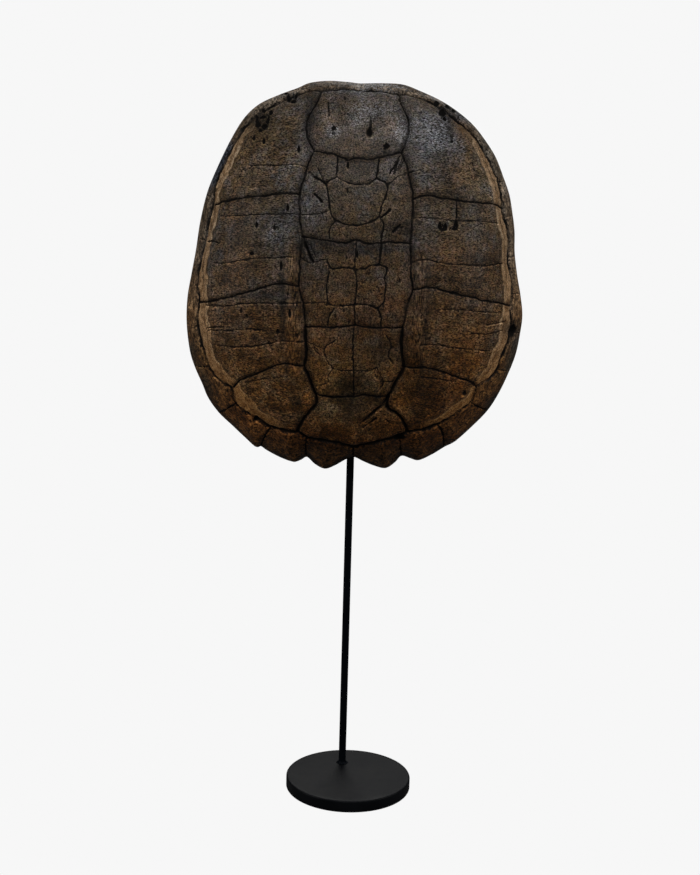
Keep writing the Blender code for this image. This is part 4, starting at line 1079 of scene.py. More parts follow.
# %% Bake the shell
SHELL_PLACE = Vector((-5.0, 30.0, 530.0)) * MM
SHELL_LEAN_DEGREES = -0.76
SEAT_X, SEAT_HALF_WIDTH, SEAT_HALF_HEIGHT, SEAT_SLOPE, SEAT_DEPTH = -1.5, 14.5, 35.0, 5.0, 85.0
BEHIND_CAD_FRONT = 0.1      # mm that the foremost point stays behind the CAD model's


def bake(thing):
    """Replace an object's mesh and modifiers by the evaluated mesh."""
    graph = bpy.context.evaluated_depsgraph_get()
    mesh = bpy.data.meshes.new_from_object(thing.evaluated_get(graph),
                                           preserve_all_data_layers=True, depsgraph=graph)
    thing.modifiers.clear()
    thing.data = mesh
    return mesh


baked = bake(shell)
for helper in helpers:
    bpy.data.objects.remove(helper)
points = np.zeros(len(baked.vertices) * 3, np.float32)
baked.vertices.foreach_get("co", points)
points = points.reshape(-1, 3).astype(float) / MM
beyond = np.maximum(np.abs(points[:, 0] - SEAT_X) - SEAT_HALF_WIDTH,
                    np.abs(points[:, 2] - SEAT_Z) - SEAT_HALF_HEIGHT)
seat = ramp(SEAT_SLOPE, 0.0, beyond) * is_inner
points[:, 1] += seat * (-SEAT_DEPTH - points[:, 1])
cad_front = (cad_box[0][1] - SHELL_PLACE.y) / MM
points[:, 1] = np.maximum(points[:, 1], cad_front + BEHIND_CAD_FRONT)
baked.vertices.foreach_set("co", (points * MM).ravel())
baked.transform(Matrix.Translation(SHELL_PLACE)
                @ Matrix.Rotation(math.radians(SHELL_LEAN_DEGREES), 4, "Y"))
baked.update()
baked.name = "carapace_finish"
triangles = sum(len(face.vertices) - 2 for face in baked.polygons)
print("shell:", triangles, "triangles,", len(baked.attributes), "attributes")

# %% [markdown]
# Shader groups that several finishes share
#
# Three effects are needed again and again. `line mask` turns the stored offsets into a
# dark line of any width, once for each family of lines in the bone. `fine relief` is
# small unevenness, used for the pores of the bone and for powder paint. `settled dust`
# finds faces that look up, where dust lies on the painted steel. Each is a node group
# with named inputs, so a material only has to give it its own values.

# %% Line mask
def new_group(name, inputs, outputs):
    """A shader group with its named inputs, and outputs that are all plain values."""
    tree = bpy.data.node_groups.new(name, "ShaderNodeTree")
    add_inputs(tree, inputs)
    for label in outputs:
        tree.interface.new_socket(label, in_out="OUTPUT", socket_type="NodeSocketFloat")
    return (tree, tree.nodes.new("NodeGroupInput").outputs,
            tree.nodes.new("NodeGroupOutput").inputs)


MESH_SPACING = 1.6      # about the distance between points of the shell, in mm
line_group, given, result = new_group(
    "line mask",
    [("Marks", "Vector", None), ("Width", "Float", 1.0), ("Softness", "Float", 0.6),
     ("Raggedness", "Float", 0.0)],
    ["Mask", "Distance", "Lip"])
parts = split(line_group, given["Marks"])
fine = length_of(line_group, join(line_group, parts["X"], parts["Y"], 0.0))
coarse = calc(line_group, "SUBTRACT", parts["Z"], MESH_SPACING)
away = calc(line_group, "ADD", calc(line_group, "MAXIMUM", fine, coarse), given["Raggedness"])
outer_side = calc(line_group, "ADD", given["Width"], given["Softness"])
mask = fade(line_group, away, given["Width"], outer_side, 1.0, 0.0)
# the lip is a painted highlight: the thin edge below a groove, as if it caught the light
past = calc(line_group, "SUBTRACT", away, given["Width"])
past = calc(line_group, "SUBTRACT", past, given["Softness"])
lip_highlight = times(line_group, stripe(line_group, past, -0.1, 0.4, 0.6, 1.5),
            fade(line_group, parts["Y"], -0.6, 0.4, 1.0, 0.0))
line_group.links.new(mask, result["Mask"])
line_group.links.new(away, result["Distance"])
line_group.links.new(lip_highlight, result["Lip"])
print("group:", line_group.name)

# %% Fine relief and settled dust
relief_group, given, result = new_group(
    "fine relief",
    [("Vector", "Vector", None), ("Size", "Float", 900.0), ("Sharpness", "Float", 0.5)],
    ["Height", "Spots"])
small = add_node(relief_group, "ShaderNodeTexNoise",
                 {"Vector": given["Vector"], "Scale": given["Size"], "Detail": 4.0,
                  "Roughness": given["Sharpness"]})
cells = add_node(relief_group, "ShaderNodeTexVoronoi",
                 {"Vector": given["Vector"], "Scale": times(relief_group, given["Size"], 0.45)})
relief_group.links.new(small.outputs[0], result["Height"])
relief_group.links.new(fade(relief_group, cells.outputs["Distance"], 0.12, 0.3, 1.0, 0.0),
                       result["Spots"])

dust_group, given, result = new_group(
    "settled dust", [("Vector", "Vector", None), ("Amount", "Float", 0.3)], ["Mask"])
upward = split(dust_group, add_node(dust_group, "ShaderNodeNewGeometry").outputs["Normal"])["Z"]
clouds = add_node(dust_group, "ShaderNodeTexNoise",
                  {"Vector": given["Vector"], "Scale": 45.0, "Detail": 5.0, "Roughness": 0.65})
lying = times(dust_group, fade(dust_group, upward, 0.3, 1.0),
              fade(dust_group, clouds.outputs[0], 0.35, 0.75), given["Amount"])
dust_group.links.new(lying, result["Mask"])
print("groups:", relief_group.name, "and", dust_group.name)

# %% [markdown]
# The finish of the bone
#
# Waxed bone is built up as it came to look so: the brown of the bone itself and its
# grain, then what age and wear did to it. The masks stored with the points come first,
# each unpacked to a plain name. Then the grain: fibres run outwards across the side
# plates, upright along the keels, and the rest is granular. Fine checks, short cracks
# from drying, cross the plates.

# %% Helpers for materials
def attribute(tree, name):
    return add_node(tree, "ShaderNodeAttribute", attribute_name=name).outputs["Vector"]


def blend(tree, share, first, second, mode="MIX"):
    """From the first colour to the second, by the share."""
    return add_node(tree, "ShaderNodeMix", {"Factor": share, 6: first, 7: second},
                    data_type="RGBA", blend_type=mode).outputs[2]


def noise_of(tree, vector, scale, detail=4.0, roughness=0.55):
    return add_node(tree, "ShaderNodeTexNoise",
                    {"Vector": vector, "Scale": scale, "Detail": detail,
                     "Roughness": roughness}).outputs[0]


def use_group(tree, group, **values):
    """A shader group's outputs, with values or links for its named inputs."""
    made = add_node(tree, "ShaderNodeGroup", node_tree=group)
    for label, value in values.items():
        socket = made.inputs[label.replace("_", " ").title()]
        if isinstance(value, bpy.types.NodeSocket):
            tree.links.new(value, socket)
        else:
            socket.default_value = value
    return made.outputs


def highest(tree, *values):
    """The greatest of all the values."""
    most = values[0]
    for value in values[1:]:
        most = calc(tree, "MAXIMUM", most, value)
    return most


print("helpers for materials ready")

# %% Masks and grain of the bone
SWAY = 0.003            # metres from one side to the other, so the grain is never straight
bone.use_nodes = True
tree = bone.node_tree
shader = tree.nodes["Principled BSDF"]
where = add_node(tree, "ShaderNodeTexCoord").outputs["Object"]

on_sides, on_keels, outside = split(tree, attribute(tree, "grain"))
greyer, warmer, stains_and_shade = split(tree, attribute(tree, "tones"))
wax_and_glints, blackened, rearward = split(tree, attribute(tree, "glints_and_wear"))
past_band, inside_line, on_flanks = split(tree, attribute(tree, "band"))


def stretched(scale, vector=where):
    return add_node(tree, "ShaderNodeMapping", {"Vector": vector, "Scale": scale}).outputs[0]


def colour_noise(scale, detail, roughness):
    """Three separate noises from one node."""
    made = add_node(tree, "ShaderNodeTexNoise", {"Vector": where, "Scale": scale,
                                                 "Detail": detail, "Roughness": roughness})
    return split(tree, made.outputs["Color"])


def between(share, first, second):
    return add_node(tree, "ShaderNodeMix", {"Factor": share, 2: first, 3: second}).outputs[0]


# noise scales are per metre: 17 gives clouds 60 mm wide, and 900 grains of 1 mm
clouds, grey_clouds, warm_clouds = colour_noise(17.0, 6.0, 0.6)
patches, grey_patches, warm_patches = colour_noise(60.0, 5.0, 0.62)
mottle, sway_x, sway_z = colour_noise(150.0, 4.0, 0.6)
sway = join(tree, calc(tree, "MULTIPLY_ADD", sway_x, SWAY, -SWAY / 2), 0.0,
            calc(tree, "MULTIPLY_ADD", sway_z, SWAY, -SWAY / 2))
swayed = vector_calc(tree, "ADD", where, sway)
granular = noise_of(tree, swayed, 900.0, 2.0, 0.7)
fibres = noise_of(tree, stretched((400.0, 400.0, 1300.0), swayed), 1.0, 2.0, 0.7)
stripes = noise_of(tree, stretched((900.0, 500.0, 160.0), swayed), 1.0, 2.0, 0.7)
streaks = noise_of(tree, stretched((620.0, 400.0, 38.0)), 1.0, 2.0, 0.7)
specks = noise_of(tree, where, 700.0, 2.0, 0.6)
grit = noise_of(tree, where, 420.0, 3.0, 0.8)
marks = add_node(tree, "ShaderNodeTexVoronoi",
                 {"Vector": stretched((240.0, 240.0, 80.0)), "Scale": 1.0}).outputs["Distance"]
texture = between(calc(tree, "MULTIPLY_ADD", on_sides, 0.5, 0.35), granular, fibres)
texture = between(times(tree, on_keels, 0.7), texture, stripes)

# a check runs where this noise crosses its middle
checks = noise_of(tree, stretched((26.0, 26.0, 240.0), swayed), 1.0, 2.0, 0.6)
checks = calc(tree, "ABSOLUTE", calc(tree, "SUBTRACT", checks, 0.5))
checked = times(tree, fade(tree, checks, 0.010, 0.035, 1.0, 0.0),
                fade(tree, warm_patches, 0.42, 0.54), fade(tree, on_sides, 0.0, 1.0, 0.3, 1.0))
print("grain layers mixed")

# %% [markdown]
# Browns, worn grey and warm patches
#
# Bone takes stain and wax unevenly. So the brown changes in clouds, drifts of worn grey
# and of warm brown cross it, and then come the grey and warm places that were drawn.

# %% Browns of the bone
DEEP_BROWN = (0.068, 0.040, 0.020, 1.0)
MID_BROWN = (0.125, 0.076, 0.036, 1.0)
WORN_GREY = (0.128, 0.116, 0.104, 1.0)
WARM_BROWN = (0.180, 0.092, 0.034, 1.0)


def tinted(colour, tint):
    """A colour seen through another."""
    return blend(tree, 1.0, colour, tint, "MULTIPLY")


def scaled(colour, value):
    """A colour made lighter or darker."""
    return tinted(colour, join(tree, value, value, value))


def patchy(share, low, high):
    """A zone whose edge is broken up by the patches."""
    lifted = calc(tree, "MULTIPLY_ADD", calc(tree, "SUBTRACT", patches, 0.5), 0.9, share)
    return fade(tree, lifted, low, high)


colour = blend(tree, fade(tree, clouds, 0.32, 0.68), DEEP_BROWN, MID_BROWN)
colour = blend(tree, times(tree, fade(tree, patches, 0.4, 0.65), 0.45), colour, MID_BROWN)
for small, large, full, most, tone in (
        (grey_patches, grey_clouds, 0.60, 0.5, WORN_GREY),
        (warm_patches, warm_clouds, 0.62, 0.45, WARM_BROWN)):
    drift = calc(tree, "MULTIPLY_ADD", small, 0.5, times(tree, large, 0.5))
    colour = blend(tree, fade(tree, drift, 0.46, full, 0.0, most), colour, tone)
colour = blend(tree, times(tree, patchy(greyer, 0.1, 0.9), 0.65), colour, WORN_GREY)
colour = blend(tree, times(tree, patchy(warmer, 0.1, 0.9), 0.55), colour, WARM_BROWN)
colour = blend(tree, times(tree, on_keels, 0.25), colour, WARM_BROWN)
print("browns mixed")

# %% [markdown]
# Light and dark in the grain
#
# The grain shows as contrast: every layer is a factor near 1, and their product scales
# the brown. Towards the rear the bone is coarser and more uneven, with more contrast.
# The hue follows the height, cooler near the neck and browner at the tail, and tiny
# flecks of red and blue keep the brown from looking like one paint.

# %% Contrast and hue
WHITE = (1.0, 1.0, 1.0, 1.0)
COOLER, BROWNER = (0.85, 0.98, 1.19, 1.0), (1.20, 0.95, 0.60, 1.0)
shade = split(tree, attribute(tree, "shade"))["X"]
coarser = between(rearward, fade(tree, grit, 0.38, 0.62, 0.82, 1.18),
                  fade(tree, grit, 0.38, 0.62, 0.42, 1.58))
unevenly = times(tree, fade(tree, grey_patches, 0.36, 0.64, -0.4, 0.35), rearward)
# the rearward factor makes the bone darker near the neck and lighter towards the tail
contrast = times(tree, fade(tree, texture, 0.38, 0.62, 0.0, 2.1),
                 fade(tree, patches, 0.32, 0.68, 0.74, 1.26),
                 fade(tree, specks, 0.32, 0.42, 0.65, 1.0), coarser,
                 calc(tree, "MULTIPLY_ADD", checked, -0.6, 1.0),
                 fade(tree, rearward, 0.0, 1.0, 0.79, 1.08), shade,
                 calc(tree, "ADD", unevenly, 1.0))
height_tint = tinted(blend(tree, fade(tree, rearward, 0.0, 0.6), COOLER, BROWNER),
                     attribute(tree, "tint"))
colour = tinted(scaled(colour, contrast), height_tint)
flecks = colour_noise(240.0, 3.0, 0.6)
tinge = join(tree, fade(tree, flecks["X"], 0.35, 0.65, 0.91, 1.09), 1.0,
             fade(tree, flecks["Z"], 0.35, 0.65, 0.86, 1.14))
colour = tinted(colour, tinge)
print("contrast and hue mixed")

# %% [markdown]
# The rim
#
# The plates of the rim were touched most. They are granular, without fibres, brown to
# tan, and almost black along parts of the sides.

# %% Colour of the rim
RIM_GREY = (0.038, 0.037, 0.038, 1.0)
RIM_BROWN = (0.070, 0.042, 0.022, 1.0)
RIM_TAN = (0.150, 0.100, 0.058, 1.0)
beyond_rim = fade(tree, inside_line, -0.8, 0.4, 1.0, 0.0)
rim_tone = blend(tree, fade(tree, patches, 0.40, 0.62), RIM_BROWN, RIM_TAN)
rim_tone = blend(tree, patchy(blackened, 0.25, 0.75), rim_tone, RIM_GREY)
rim_contrast = times(tree, fade(tree, mottle, 0.38, 0.60, 0.55, 1.45),
                     fade(tree, grit, 0.39, 0.61, 0.0, 2.2), shade)
rim_tone = tinted(scaled(rim_tone, rim_contrast), height_tint)
colour = blend(tree, beyond_rim, colour, rim_tone)
print("rim mixed")

# %% [markdown]
# The bare band
#
# In the band the outer layer is gone and pale, spongy bone lies open. Its inner edge is
# ragged, with a painted shadow line where it steps down, a painted highlight on the ridge
# where the step would catch the light, and here and there a crack along its foot.

# %% Colour of the bare band
TAN = (0.390, 0.260, 0.150, 1.0)
PALE_TAN = (0.480, 0.360, 0.235, 1.0)
STRIP_BROWN = (0.190, 0.110, 0.052, 1.0)
STRIP_BROWNER = (1.12, 0.86, 0.53, 1.0)
ragged = times(tree, calc(tree, "SUBTRACT", mottle, 0.5), 2.6)
rough_edge = calc(tree, "MULTIPLY_ADD", calc(tree, "SUBTRACT", patches, 0.5), 12.0, ragged)
past_edge = calc(tree, "ADD", past_band, rough_edge)
strip = times(tree, fade(tree, past_edge, -2.8, -2.1),
              fade(tree, calc(tree, "ADD", inside_line, ragged), 0.2, 1.2), on_flanks)
# painted shadow: a dark line where the band steps down
step_shadow_line = times(tree, stripe(tree, past_edge, -4.2, -3.2, -2.9, -2.3), on_flanks)
ridge_line = stripe(tree, past_edge, -2.6, -1.8, -1.0, 0.0)
inner_crack = times(tree, stripe(tree, past_edge, 1.6, 2.2, 2.5, 3.2),
                    fade(tree, warm_clouds, 0.46, 0.54))

strip_tone = blend(tree, fade(tree, mottle, 0.35, 0.62), STRIP_BROWN, TAN)
# painted highlight on the ridge of the step
lit_ridge = times(tree, ridge_line, 0.8, fade(tree, warm_patches, 0.42, 0.55))
strip_tone = blend(tree, lit_ridge, strip_tone, PALE_TAN)
strip_tone = tinted(strip_tone, blend(tree, rearward, WHITE, STRIP_BROWNER))
strip_tone = scaled(strip_tone, times(tree, fade(tree, granular, 0.41, 0.60, 0.45, 1.6),
                                      calc(tree, "MULTIPLY_ADD", inner_crack, -0.75, 1.0)))
colour = blend(tree, times(tree, strip, 0.92), colour, strip_tone)
colour = blend(tree, times(tree, step_shadow_line, 0.6), colour, DEEP_BROWN)
print("bare band mixed")

# %% [markdown]
# Stains, painted shade and painted glints
#
# The drawn stains, and the painted shade in hollows and beside the keels, turn the bone a
# bluish black. Where the wax is whole, the crests of the grain get painted glints, pale
# highlights as of reflected light.

# %% Stains, painted shade and painted glints
BLUE_BLACK = (0.20, 0.23, 0.29, 1.0)
GLINT = (0.42, 0.43, 0.46, 1.0)
# stains and painted shade together turn the bone bluish black
stain_and_shade_share = times(tree, patchy(stains_and_shade, 0.05, 1.0), 0.8)
colour = blend(tree, stain_and_shade_share, colour, BLUE_BLACK, "MULTIPLY")
# painted highlights: pale glints on the grain's crests; the same zone thickens the wax coat
shiny = patchy(wax_and_glints, 0.35, 1.1)
glints = times(tree, shiny, fade(tree, texture, 0.53, 0.60), 0.85)
colour = blend(tree, glints, colour, GLINT)
print("stains and glints mixed")

# %% [markdown]
# Lines, pits and dirt
#
# Dirt and old stain sit in every furrow. Each family of lines gets a black core of dirt, a
# soft painted shade beside it, and a thin painted highlight on the lip below it, broken up
# where the real line fades.
# Pits are treated alike. Pores, short upright marks, dark streaks and cracks along the
# keels follow.

# %% Dark lines
# name, width, softness, reach and strength of the painted shade, share of it that is broken up
LINES = [("sides", 0.45, 0.7, 9.0, 0.66, 0.35), ("lower_sides", 0.7, 1.2, 9.0, 0.80, 0.15),
         ("crossings", 0.60, 0.4, 6.5, 0.62, 0.1), ("rim", 0.50, 0.6, 3.5, 0.5, 0.7),
         ("rear_rim", 0.60, 1.6, 5.0, 0.7, 0.1), ("seams", 0.50, 0.5, 3.0, 0.5, 0.2),
         ("flank_seams", 0.1, 0.5, 1.6, 0.25, 0.8), ("gouges", 0.7, 1.2, 4.5, 0.65, 0.4),
         ("gashes", 0.8, 0.5, 3.0, 0.5, 0.0), ("scratches", 0.40, 0.5, 2.2, 0.5, 0.5),
         ("sutures", 0.32, 0.4, 1.8, 0.35, 0.35),
         ("middle_sutures", 0.48, 0.4, 2.4, 0.45, 0.1)]
SHADE_FALL = 1.6        # above 1, the shade clings to its line

breaks = fade(tree, noise_of(tree, where, 75.0, 3.0, 0.7), 0.40, 0.56, 1.0, 0.0)
cores, line_shade_masks, lip_highlights = [], [], []
for name, width, softness, spread, darkness, broken in LINES:
    line = use_group(tree, line_group, marks=attribute(tree, name), width=width,
                     softness=softness, raggedness=ragged)
    whole = calc(tree, "MULTIPLY_ADD", breaks, -broken, 1.0)
    near_line = fade(tree, line["Distance"], 0.0, spread, 1.0, 0.0)
    cores.append(times(tree, line["Mask"], whole))
    line_shade_masks.append(times(tree, calc(tree, "POWER", near_line, SHADE_FALL), darkness, whole))
    lip_highlights.append(times(tree, line["Lip"], whole))
print(len(LINES), "families of lines darkened")

# %% Pits, pores and upright marks
pit_parts = split(tree, attribute(tree, "pit"))
pit_depth = split(tree, attribute(tree, "pit_depth"))["X"]
pit_fine = length_of(tree, join(tree, pit_parts["X"], pit_parts["Y"], 0.0))
pit_away = calc(tree, "MAXIMUM", pit_fine, calc(tree, "SUBTRACT", pit_parts["Z"], 1.0))
pit_away = calc(tree, "MULTIPLY_ADD", ragged, 0.3, pit_away)
pit_mask = times(tree, fade(tree, pit_away, 0.85, 1.20, 1.0, 0.0),
                 fade(tree, pit_depth, 0.5, 1.3, 0.4, 1.0))
# a painted highlight on the lower brim of a pit, as if it caught the light
pit_lip_highlight = times(tree, stripe(tree, pit_away, 1.15, 1.35, 1.45, 2.0),
                fade(tree, pit_parts["Y"], -0.9, -0.1, 1.0, 0.0))
pores = use_group(tree, relief_group, vector=where, size=330.0)
pore_mask = times(tree, pores["Spots"], fade(tree, clouds, 0.45, 0.6))
short_marks = times(tree, fade(tree, marks, 0.09, 0.17, 1.0, 0.0),
                    fade(tree, patches, 0.46, 0.56))
dark_streaks = times(tree, fade(tree, streaks, 0.37, 0.43, 1.0, 0.0),
                     fade(tree, grey_patches, 0.44, 0.53), 0.7)
keel_cracks = times(tree, fade(tree, streaks, 0.36, 0.43, 1.0, 0.0), on_keels, 0.8)
upright = highest(tree, short_marks, dark_streaks, keel_cracks)
print("pits, pores and marks found")

# %% Darken them
DIRT = (0.004, 0.0035, 0.003, 1.0)
LINE_SHADE = (0.007, 0.006, 0.0055, 1.0)
dirt = times(tree, highest(tree, *cores, pit_mask), outside)
line_shade_mask = times(tree, highest(tree, *line_shade_masks), outside)
painted_lip_highlights = times(tree, highest(tree, *lip_highlights, pit_lip_highlight), outside)
# painted shade beside the lines
colour = blend(tree, line_shade_mask, colour, LINE_SHADE)
# painted highlights on the lips of lines and pits
colour = scaled(colour, calc(tree, "MULTIPLY_ADD", painted_lip_highlights, 0.9, 1.0))
colour = blend(tree, times(tree, upright, 0.85), colour, DIRT)
colour = blend(tree, times(tree, pore_mask, 0.5), colour, DEEP_BROWN)
colour = blend(tree, dirt, colour, DIRT)
print("dirt laid")

# %% [markdown]
# The inside, gloss and bump
#
# The hollow side was never stained or waxed, so it is tan, with ribs a little paler than
# the bone between them, which is also painted darker, as shade. On the outer side the wax
# is a thin coat over satin bone. It is missing from the furrows, because the dirt in them
# is dry and matt, so the same masks that darken a line also make it rough. The bump adds
# relief that is finer than the mesh: grain, pores, checks and the cut of every line.

# %% Colour of the inside
INSIDE_TAN = (0.300, 0.205, 0.125, 1.0)
INSIDE_BROWN = (0.120, 0.075, 0.045, 1.0)
bony = split(tree, attribute(tree, "bony"))["X"]
inside_colour = blend(tree, fade(tree, patches, 0.3, 0.7), INSIDE_BROWN, INSIDE_TAN)
inside_colour = blend(tree, fade(tree, bony, 0.5, 6.0, 0.0, 0.6), inside_colour, INSIDE_TAN)
# painted shade: darker where the bone is not raised, between and beside the ribs
inside_contrast = times(tree, fade(tree, texture, 0.38, 0.62, 0.6, 1.35),
                        fade(tree, bony, 0.0, 2.5, 0.72, 1.05))
colour = blend(tree, outside, scaled(inside_colour, inside_contrast), colour)
tree.links.new(colour, shader.inputs["Base Color"])
print("inside mixed")

# %% Gloss and bump
COAT_ROUGHNESS, SPECULAR_LEVEL = 0.3, 0.08
BUMP_DISTANCE = 0.0018      # in metres
rough = fade(tree, patches, 0.3, 0.7, 0.36, 0.54)
rough = calc(tree, "MULTIPLY_ADD", calc(tree, "MAXIMUM", dirt, upright), 0.45, rough)
rough = calc(tree, "MULTIPLY_ADD", strip, 0.08, rough)
tree.links.new(rough, shader.inputs["Roughness"])
clean = calc(tree, "SUBTRACT", outside, calc(tree, "MAXIMUM", dirt, line_shade_mask), clamp=True)
wax = times(tree, calc(tree, "MULTIPLY_ADD", shiny, 0.45, 0.12),
            fade(tree, texture, 0.42, 0.58, 0.3, 1.0), clean)
tree.links.new(wax, shader.inputs["Coat Weight"])
shader.inputs["Coat Roughness"].default_value = COAT_ROUGHNESS
shader.inputs["Specular IOR Level"].default_value = SPECULAR_LEVEL

height = times(tree, texture, 0.8)
for relief, share in ((pores["Height"], 0.25), (pore_mask, -0.35), (checked, -0.3),
                      (dirt, -0.8)):
    height = calc(tree, "MULTIPLY_ADD", relief, share, height)
bump = add_node(tree, "ShaderNodeBump",
                {"Height": height, "Strength": 1.0, "Distance": BUMP_DISTANCE})
tree.links.new(bump.outputs[0], shader.inputs["Normal"])
print("bone:", len(tree.nodes), "nodes")

# %% Dress the shell
def finish_piece(thing, slot, *nodes):
    """Ride the piece on the frame, in place of its CAD nodes."""
    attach(thing, "root")
    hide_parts(*nodes)
    thing.data.shade_smooth()
    print(thing.name, "stands for", ", ".join(nodes))


finish_piece(shell, "bone", "carapace")

# %% [markdown]
# Powder coated steel
#
# The stand is mild steel under a satin black powder coat. The paint flows out into a
# faint orange peel, a little lighter where hands have rubbed it, with some dust where
# it lies flat. It mirrors little, so its specular level is low. One function makes the
# finish, and each piece gets its own values.

# %% Black steel
DUST = (0.10, 0.10, 0.098, 1.0)


def powder_coat(name, tone, roughness, dust, specular):
    material = bpy.data.materials.new(name)
    material.use_nodes = True
    tree = material.node_tree
    shader = tree.nodes["Principled BSDF"]
    where = add_node(tree, "ShaderNodeTexCoord").outputs["Object"]
    peel = use_group(tree, relief_group, vector=where, size=700.0, sharpness=0.4)
    rubbed = noise_of(tree, where, 28.0, 5.0, 0.6)
    darker, lighter = (tuple(share * v for v in tone) + (1.0,) for share in (0.8, 1.25))
    colour = blend(tree, fade(tree, rubbed, 0.35, 0.7), darker, lighter)
    lying = use_group(tree, dust_group, vector=where, amount=dust)
    colour = blend(tree, lying["Mask"], colour, DUST)
    tree.links.new(colour, shader.inputs["Base Color"])
    rough = fade(tree, rubbed, 0.3, 0.7, roughness - 0.05, roughness + 0.06)
    tree.links.new(calc(tree, "MULTIPLY_ADD", lying["Mask"], 0.3, rough),
                   shader.inputs["Roughness"])
    bump = add_node(tree, "ShaderNodeBump",
                    {"Height": peel["Height"], "Strength": 0.25, "Distance": 0.0002})
    tree.links.new(bump.outputs[0], shader.inputs["Normal"])
    shader.inputs["Specular IOR Level"].default_value = specular
    return material


base_coat = powder_coat("base_powder_coat", (0.0026, 0.0031, 0.0042), 0.48, 0.015, 0.085)
bar_coat = powder_coat("bar_powder_coat", (0.0010, 0.0018, 0.0032), 0.50, 0.01, 0.05)
print("powder coats:", base_coat.name, bar_coat.name)

# %% [markdown]
# Turned pieces
#
# The base, the rod and the arm are all round. A turned piece is a profile swept about
# an axis, as on a lathe, so the script draws half of the section and spins it.

# %% Spin a profile
def spun(name, profile, sides, material, move=None, ripple=None):
    """Turn (radius, height) points, top to bottom, about Z, then move by a matrix."""
    shape = bmesh.new()
    turns = 2 * math.pi * np.arange(sides) / sides
    rows = []
    for radius, height in profile:
        if radius == 0:
            rows.append([shape.verts.new((0, 0, height * MM))])
            continue
        row = []
        for turn in turns:
            r, h = ripple(radius, height, turn) if ripple else (radius, height)
            row.append(shape.verts.new((r * math.cos(turn) * MM, r * math.sin(turn) * MM,
                                        h * MM)))
        rows.append(row)
    for upper, lower in zip(rows, rows[1:]):
        for k in range(sides):
            corners = [upper[k % len(upper)], lower[k % len(lower)],
                       lower[(k + 1) % len(lower)], upper[(k + 1) % len(upper)]]
            shape.faces.new(list(dict.fromkeys(corners)))
    bmesh.ops.recalc_face_normals(shape, faces=shape.faces)
    mesh = bpy.data.meshes.new(name)
    shape.to_mesh(mesh)
    shape.free()
    mesh.transform(move or Matrix.Identity(4))
    mesh.materials.append(material)
    return add_object(name, mesh)


def arc(centre_radius, centre_height, radius, start, stop, count=8):
    """Points of a rounded corner, with angles in degrees from +radius."""
    return [(centre_radius + radius * math.cos(math.radians(a)),
             centre_height + radius * math.sin(math.radians(a)))
            for a in np.linspace(start, stop, count)]


print("lathe ready")

# %% The base
BASE_RADIUS, BASE_THICKNESS, BASE_EDGE_RADIUS = 65.0, 12.5, 1.6
BASE_SIDES = 192
flat_edge = BASE_RADIUS - BASE_EDGE_RADIUS
profile = [(0, BASE_THICKNESS)] + [(r, BASE_THICKNESS) for r in (8, 20, 35, 50, 60)]
profile += arc(flat_edge, BASE_THICKNESS - BASE_EDGE_RADIUS, BASE_EDGE_RADIUS, 90, 0)
profile += [(BASE_RADIUS, 9.0), (BASE_RADIUS, 6.0), (BASE_RADIUS, 3.5)]
profile += arc(flat_edge, BASE_EDGE_RADIUS, BASE_EDGE_RADIUS, 0, -90)
profile += [(r, 0.0) for r in (60, 35, 8)] + [(0, 0.0)]
base = spun("base_finish", profile, BASE_SIDES, base_coat)
finish_piece(base, "black_steel", "base_disc")

# %% [markdown]
# Rod and arm, with their welds
#
# A bead of weld runs round the foot of the rod and both ends of the arm. A bead isn't
# smooth: it was laid down drop by drop, so its surface has a ripple for every drop.
# The spin adds that ripple only where the bead is.

# %% Welds
ROD_RADIUS = 3.8
WELD_REACH, WELD_STEEPNESS, WELD_DROPS, WELD_RIPPLE = 2.4, 1.5, 19, 0.16


def bead(radius, height, turn):
    """Ripples on the fillet, none on the bar or at the bead's outer edge."""
    out = (radius - ROD_RADIUS) / WELD_REACH
    swell = math.sin(math.pi * min(max(out, 0), 1))
    drop = abs(math.sin(turn * WELD_DROPS / 2 + 3 * out))
    return radius - WELD_RIPPLE * swell * drop, height


def fillet(height, away):
    """From the bar out to the surface it is welded to."""
    return [(ROD_RADIUS + WELD_REACH * (1 - math.cos(a)),
             height + away * WELD_REACH * WELD_STEEPNESS * (1 - math.sin(a)))
            for a in np.linspace(0, math.pi / 2, 9)]


print(WELD_DROPS, "drops to a bead")

# %% Rod
BAR_SIDES = 76
ROD_X, ROD_Y, ROD_ABOVE_ARM, ROD_CHAMFER = -6.6, 30.0, 9.0, 0.6
GAP = 0.3               # the solids keep this apart, and the welds bridge it
ARM_Z = SHELL_PLACE.z / MM + SEAT_Z

foot, top = BASE_THICKNESS + GAP, ARM_Z + ROD_ABOVE_ARM
profile = [(0, top), (ROD_RADIUS - ROD_CHAMFER, top)]
profile += arc(ROD_RADIUS - ROD_CHAMFER, top - ROD_CHAMFER, ROD_CHAMFER, 70, 0, 5)
profile += [(ROD_RADIUS, h) for h in np.linspace(top - 20, foot + 20, 12)]
profile += fillet(foot, 1) + [(0, foot)]
rod = spun("rod_finish", profile, BAR_SIDES, bar_coat,
           Matrix.Translation((ROD_X * MM, ROD_Y * MM, 0)), bead)
finish_piece(rod, "black_steel", "rod")

# %% Arm
PLATE_THICKNESS = 3.0
PLATE_Y = SHELL_PLACE.y / MM - SEAT_DEPTH + GAP + PLATE_THICKNESS / 2

